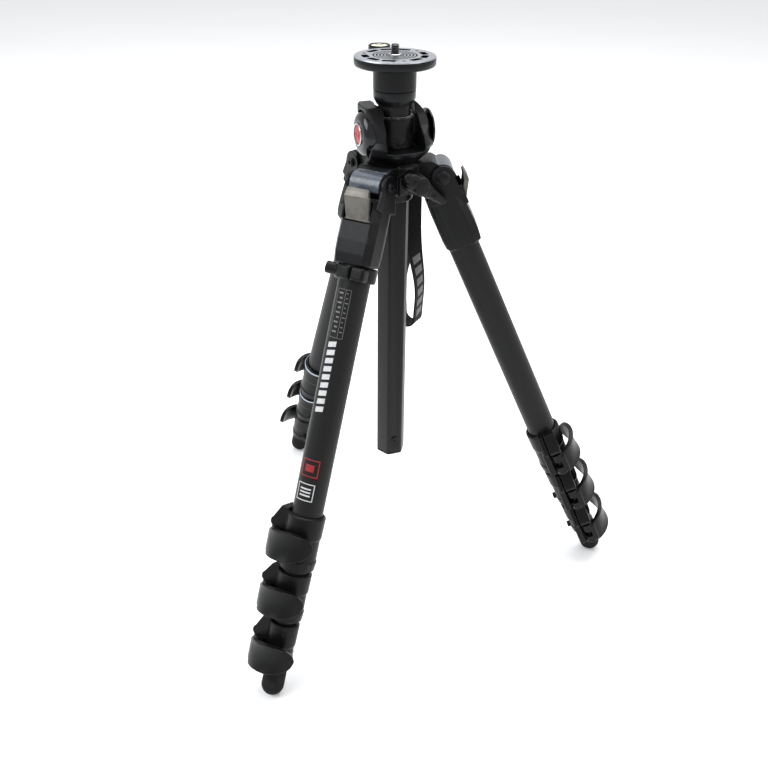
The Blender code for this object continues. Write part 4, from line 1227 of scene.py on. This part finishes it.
def level_ring_shape():
    """The ring that turns round the neck, with an arm and a round housing for the vial."""
    low, high = COLLAR_SEAM + CLEARANCE, PLATE_BOTTOM - CLEARANCE
    body = turned(
        [
            (0.0, high), (COLLAR_RADIUS + 0.0002, high), (COLLAR_RADIUS + 0.0002, low + 0.0002),
            (COLLAR_RADIUS, low), (0.0, low),
        ],
        96,
    )
    arm = box((0.0120, -0.0050, 0.4552), (VIAL_OUT, 0.0050, 0.4608), 0.0014)
    housing = turned(
        [
            (0.0, 0.4698), (0.0079, 0.4698), (0.0084, 0.4693), (0.0084, 0.4590), (0.0078, 0.4574),
            (0.0, 0.4572),
        ],
        56,
    )
    housing = moved(housing, Matrix.Translation((VIAL_OUT, 0, 0)))
    cuts = [
        cylinder(0.0073, (VIAL_OUT, 0, 0.4655), (VIAL_OUT, 0, 0.49), 48),
        cylinder(0.0103, (0, 0, 0.43), (0, 0, 0.49), 64),
    ]
    return moved(combined(body, [arm, housing], cuts), level_turn_matrix())


def vial_shape():
    profile = [(0.0, 0.4702), (0.0036, 0.4700), (0.0062, 0.4694), (0.0071, 0.4685)]
    profile += [(0.0071, 0.4657), (0.0, 0.4657)]
    shape = moved(turned(profile, 48), Matrix.Translation((VIAL_OUT, 0, 0)))
    return moved(shape, level_turn_matrix())


def vial_ring_shape():
    """The dark target ring under the vial's crown."""
    profile = [(0.0033, 0.47020), (0.0033, 0.4698), (0.0028, 0.4698), (0.0028, 0.47025)]
    shape = moved(turned(profile, 40, closed=True), Matrix.Translation((VIAL_OUT, 0, 0)))
    return moved(shape, level_turn_matrix())


def plate_profile():
    """Outer profile of the head plate, from the middle of its top, over the grooves, to its underside."""
    profile = [(0.0, PLATE_TOP)]
    groove, depth, half = 0.0062, 0.0007, 0.00055
    while groove < 0.0165:
        profile += [
            (groove - half, PLATE_TOP), (groove - half * 0.5, PLATE_TOP - depth),
            (groove + half * 0.5, PLATE_TOP - depth), (groove + half, PLATE_TOP),
        ]
        groove += 0.0024
    edge = PLATE_RADIUS
    profile += [
        (edge - 0.0011, PLATE_TOP), (edge - 0.0004, PLATE_TOP - 0.0002), (edge, PLATE_TOP - 0.0009),
        (edge, PLATE_BOTTOM + 0.0013), (edge - 0.0006, PLATE_BOTTOM + 0.0004),
        (edge - 0.0014, PLATE_BOTTOM), (0.0, PLATE_BOTTOM),
    ]
    return profile


def head_plate_shape():
    """The head plate, with fine grooves round its middle, nine slots in threes and three set screws."""
    body = turned(plate_profile(), 120)
    cut = [cylinder(0.0035, (0, 0, 0.45), (0, 0, 0.48), 40)]
    for group in range(3):
        for place in (-1, 0, 1):
            turn = Matrix.Rotation(math.radians(104 + 120 * group + 33 * place), 4, "Z")
            slot = box((0.0194, -0.0051, 0.45), (0.0245, 0.0051, 0.48), 0.0016, bevel_axis=2)
            cut.append(moved(slot, turn))
        azimuth = math.radians(44 + 120 * group)
        screw = polar(0.0232, azimuth, PLATE_TOP - 0.0016)
        cut.append(cylinder(0.0014, screw, screw + Vector((0, 0, 0.0125)), 20))
    shape = combined(body, cut=cut)
    shape.data.materials.append(MATERIALS["plate_metal"])
    shape.data.materials.append(MATERIALS["plate_side"])
    shape.data.materials.append(MATERIALS["groove"])
    for face in shape.data.polygons:
        reach = math.hypot(face.center.x, face.center.y)
        on_face = face.center.z > PLATE_TOP - 0.0001 and face.normal.z > 0.5
        if on_face or (reach > 0.0288 and face.normal.z > 0.2):
            face.material_index = 0
        else:
            face.material_index = 2 if reach < 0.0180 and face.center.z > PLATE_TOP - 0.0010 else 1
    return shape


def thread(radius, depth, pitch, low, high):
    """A screw's thread: rings of points whose radius follows the helix."""
    sides, per_turn = 32, 10
    rows = int((high - low) / pitch * per_turn)
    shape = bmesh.new()
    rings = []
    for i in range(rows + 1):
        z = low + (high - low) * i / rows
        ring = []
        for j in range(sides):
            angle = 2 * math.pi * j / sides
            phase = (z / pitch - j / sides) % 1.0
            cut = depth * (1 - abs(2 * phase - 1))
            taper = min(1.0, (high - z) / 0.0007) if high - z < 0.0007 else 1.0
            r = (radius - cut) * (0.80 + 0.20 * taper)
            ring.append(shape.verts.new((r * math.cos(angle), r * math.sin(angle), z)))
        rings.append(ring)
    skinned(shape, rings)
    return from_bmesh(shape)


def head_screw_shape():
    """The threaded stud, with a slot across its end and a shallow flange at its foot."""
    stud = thread(0.00318, 0.00075, 0.00127, PLATE_BOTTOM + CLEARANCE, 0.4766)
    slot = box((-0.0040, -0.0005, 0.4758), (0.0040, 0.0005, 0.4780))
    return combined(stud, cut=[moved(slot, Matrix.Rotation(math.radians(25), 4, "Z"))])


def screw_flange_shape():
    """The stud's flange, a stepped washer round it on the plate."""
    low = PLATE_TOP + 0.0001
    return turned(
        [
            (0.0046, low + 0.0010), (0.0050, low + 0.0007), (0.0050, low), (0.0034, low),
            (0.0034, low + 0.0010),
        ],
        48,
        closed=True,
    )


def lock_knob_shape():
    """The column's lock knob about its own screw: z runs out of the hub. Two wings stand off its grip."""
    grip = turned(
        [
            (0.0, 0.0160), (0.0050, 0.0158), (0.0068, 0.0146), (0.0076, 0.0110), (0.0082, 0.0040),
            (0.0080, 0.0003), (0.0, 0.0003),
        ]
    )
    wings = []
    for side, length in ((1, 0.0300), (-1, 0.0165)):
        wings.append(ball(0.0060, (side * 0.0072, 0, 0.0106), (1.25, 0.92, 0.82)))
        tip = (side * length * 0.86, 0, 0.0112)
        wings.append(cylinder(0.0052, (side * 0.0040, 0, 0.0108), tip, 32, 0.0030))
        wings.append(ball(0.0031, (side * length * 0.84, 0, 0.0112), (1.05, 1.05, 0.95)))
    screw = cylinder(0.0030, (0, 0, -0.0080), (0, 0, 0.0050), 24)
    hollows = []
    for x in (-0.0115, 0.0115):
        hollows.append(box((x - 0.0025, -0.0016, 0.0142), (x + 0.0025, 0.0016, 0.02), 0.0008))
    return softened(combined(grip, [*wings, screw], hollows), 0.00040, 5, 0.4)


def lock_knob_place():
    """The knob sits on its boss, with its wings tilted."""
    joint = JOINTS["lock_knob_turn"]
    outwards = Vector(joint["axis"]).normalized()
    side = Vector((-outwards.y, outwards.x, 0.0))
    turn = Matrix((side, outwards.cross(side), outwards)).transposed().to_4x4()
    return Matrix.Translation(joint["pos_m"]) @ turn @ Matrix.Rotation(math.radians(-36.0), 4, "Z")


def strap_outline():
    """The strap's middle line as (sideways, height) points: down one run, round the bottom and up again."""
    steps = 40
    radius = STRAP_LOOP_RADIUS
    low = STRAP_BOTTOM + radius + STRAP_THICKNESS / 2
    points = []
    for i in range(steps + 1):
        height = STRAP_TOP + (low - STRAP_TOP) * i / steps
        points.append((radius + strap_bow(height), height))
    points += arc((0, low), radius, -8, -172, 16)
    for i in range(steps + 1):
        height = low + (STRAP_TOP - low) * i / steps
        points.append((-radius - strap_bow(height), height))
    return points


def strap_bow(height):
    """How far a run of the strap bows outwards at a height: none at its ends."""
    low = STRAP_BOTTOM + STRAP_LOOP_RADIUS + STRAP_THICKNESS / 2
    share = (height - low) / (STRAP_TOP - low)
    return 0.0026 * math.sin(math.pi * share) * math.sin(1.7 * math.pi * share + 0.5)


def strap_twist(height):
    """How far the strap has turned about its length at a height: it leaves the shoulder facing forwards."""
    share = min(1.0, max(0.0, (STRAP_TOP - 0.012 - height) / (STRAP_TOP - 0.012 - 0.262)))
    return math.radians(STRAP_TURN) * (1 - share * share * (3 - 2 * share))


def twisted(obj):
    """Turns each point of the strap about its vertical middle line by the twist at its height."""
    for vert in obj.data.vertices:
        turn = strap_twist(vert.co.z)
        x, y = vert.co.x, vert.co.y
        squeeze = 1 - 0.80 * turn / math.radians(STRAP_TURN)
        x *= squeeze
        vert.co.x = x * math.cos(turn) - y * math.sin(turn)
        vert.co.y = x * math.sin(turn) + y * math.cos(turn)
    return obj


def ribbon(points, width, thickness):
    """A band of even width along a line in the XZ plane."""
    across = 4
    shape = bmesh.new()
    rows = []
    for x, z in points:
        rows.append([shape.verts.new((x, width * (j / across - 0.5), z)) for j in range(across + 1)])
    for first, second in zip(rows, rows[1:]):
        for j in range(across):
            shape.faces.new((first[j], second[j], second[j + 1], first[j + 1]))
    band = from_bmesh(shape)
    solidify = band.modifiers.new("Solidify", "SOLIDIFY")
    solidify.thickness = thickness
    solidify.offset = 0.0
    return baked(band)


def strap_place():
    turn = Matrix.Rotation(STRAP_AZIMUTH - math.pi / 2, 4, "Z")
    return MIDDLE @ turn @ Matrix.Translation((0, STRAP_RADIUS, 0))


def strap_length():
    points = strap_outline()
    return sum(math.dist(a, b) for a, b in zip(points, points[1:]))


def strap_marks_shape():
    """A column of plain slanting bars on the outside of the strap's front run."""
    low = STRAP_BOTTOM + STRAP_LOOP_RADIUS + STRAP_THICKNESS / 2
    shapes = []
    for i in range(6):
        base = low + 0.002 + 0.0098 * i
        shape = bmesh.new()
        corners = []
        for y, rise in ((-0.0045, 0.0), (0.0045, 0.0024), (0.0045, 0.0088), (-0.0045, 0.0064)):
            corners.append((y, base + rise))
        faces = []
        for depth in (STRAP_THICKNESS / 2, STRAP_THICKNESS / 2 + 0.0001):
            faces.append([])
            for y, z in corners:
                x = STRAP_LOOP_RADIUS + strap_bow(z) + depth
                faces[-1].append(shape.verts.new((x, y, z)))
        skinned(shape, faces)
        shapes.append(shape)
    return twisted(gathered(shapes))


def build_middle():
    piece("shoulder_skin", shoulder_shape(), "cast", MIDDLE, "shoulder", ["shoulder"], 60)
    piece("bracket_skin", yoke_shape(), "cast", MIDDLE, "shoulder", ["swing_bracket"], 60)
    piece("pod_left", pod_shape(-1, True), "gloss", MIDDLE, "shoulder", ["bracket_cap_left"])
    piece("pod_right", pod_shape(1, False), "gloss", MIDDLE, "shoulder", ["bracket_cap_right"])
    disc, rim = medallion_shapes()
    piece("medallion_disc", disc, "red", MIDDLE, "shoulder", ["bracket_medallion"])
    piece("medallion_rim", rim, "steel", MIDDLE, "shoulder")
    piece("sleeve_skin", sleeve_shape(), "plastic", MIDDLE, "shoulder", ["column_sleeve"])
    # painted highlight: a pale ring in the sleeve's mouth
    piece("sleeve_mouth_glint", mouth_glint_shape(), "glint_paint", MIDDLE, "shoulder")
    knob = lock_knob_shape()
    piece("lock_knob_skin", knob, "plastic", lock_knob_place(), "lock_knob", ["column_lock_knob"], 60)

    piece("column_skin", column_shape(), "carbon", MIDDLE, "column", ["column_tube"])
    piece("end_cap_skin", end_cap_shape(), "plastic", MIDDLE, "column", ["column_end_cap"])
    button = end_button_shape()
    piece("end_button_skin", button, "plastic", MIDDLE, "end_button", ["column_end_button"])
    piece("fitting_skin", top_fitting_shape(), "plate_side", MIDDLE, "column", ["column_top_fitting"])
    piece("level_ring_skin", level_ring_shape(), "plate_side", MIDDLE, "level", ["level_ring"])
    piece("level_vial_skin", vial_shape(), "vial", MIDDLE, "level", ["level_vial"])
    piece("level_target", vial_ring_shape(), "plate_side", MIDDLE, "level")
    piece("plate_skin", head_plate_shape(), None, MIDDLE, "column", ["head_plate"])
    piece("stud_skin", head_screw_shape(), "dark_steel", MIDDLE, "column", ["head_screw"])
    piece("stud_flange", screw_flange_shape(), "steel", MIDDLE, "column")

    band = twisted(ribbon(strap_outline(), STRAP_WIDTH, STRAP_THICKNESS))
    strap = piece("strap_band", band, "webbing", strap_place(), "shoulder", ["carrying_strap"], 60)
    marks = piece("strap_marks", strap_marks_shape(), "ink_grey", strap_place(), "shoulder")
    size = (STRAP_WIDTH, strap_length())


# --- studio ---------------------------------------------------------------------------------------------
def build_floor():
    shape = bmesh.new()
    bmesh.ops.create_grid(shape, x_segments=1, y_segments=1, size=6.0)
    mesh = bpy.data.meshes.new("studio_floor")
    shape.to_mesh(mesh)
    shape.free()
    mesh.materials.append(MATERIALS["floor"])
    floor = bpy.data.objects.new("studio_floor", mesh)
    floor.location = (0, 0, -0.0004)
    bpy.context.scene.collection.objects.link(floor)


def area_light(name, place, target, size, watts, colour=(1.0, 1.0, 1.0)):
    data = bpy.data.lights.new(name, "AREA")
    data.shape = "RECTANGLE"
    data.size, data.size_y = size
    data.energy = watts
    data.color = colour
    lamp = bpy.data.objects.new(name, data)
    bpy.context.scene.collection.objects.link(lamp)
    towards = Vector(target) - Vector(place)
    lamp.matrix_world = Matrix.Translation(place) @ towards.to_track_quat("-Z", "Y").to_matrix().to_4x4()


def build_lights():
    world = bpy.data.worlds.new("studio")
    world.use_nodes = True
    background = world.node_tree.nodes["Background"]
    background.inputs["Color"].default_value = (0.98, 0.99, 1.0, 1.0)
    background.inputs["Strength"].default_value = 0.85
    bpy.context.scene.world = world
    bpy.context.scene.view_settings.view_transform = "Standard"
    area_light("window", (-1.6, -0.5, 1.5), (0, 0, 0.25), (1.4, 1.2), 30.0, (0.95, 0.98, 1.0))
    area_light("overhead", (0.2, 0.5, 2.2), (0, 0, 0.2), (1.8, 1.8), 46.0)
    area_light("fill", (1.8, -0.9, 1.2), (0, 0, 0.2), (1.2, 1.2), 10.0)


def build_camera():
    """The camera looks along CAMERA_AZIMUTH, tipped down and rolled a little."""
    turn, down = CAMERA_AZIMUTH, CAMERA_DOWN
    ahead = Vector((-math.sin(turn) * math.cos(down), math.cos(turn) * math.cos(down), -math.sin(down)))
    right = ahead.cross(Vector((0, 0, 1))).normalized()
    up = right.cross(ahead)
    rolled_right = math.cos(CAMERA_ROLL) * right + math.sin(CAMERA_ROLL) * up
    rolled_up = -math.sin(CAMERA_ROLL) * right + math.cos(CAMERA_ROLL) * up
    data = bpy.data.cameras.new("camera")
    data.sensor_width = 36.0
    data.lens = CAMERA_LENS
    data.clip_start = 0.01
    camera = bpy.data.objects.new("camera", data)
    bpy.context.scene.collection.objects.link(camera)
    place = Matrix((rolled_right, rolled_up, -ahead)).transposed().to_4x4()
    place.translation = MIDDLE.translation + Vector(CAMERA_FROM_COLUMN)
    camera.matrix_world = place
    bpy.context.scene.camera = camera


build_camera()
build_floor()
build_lights()
build_legs()
build_middle()
for leftover in list(HELPERS.objects):
    bpy.data.objects.remove(leftover, do_unlink=True)
bpy.data.collections.remove(HELPERS)
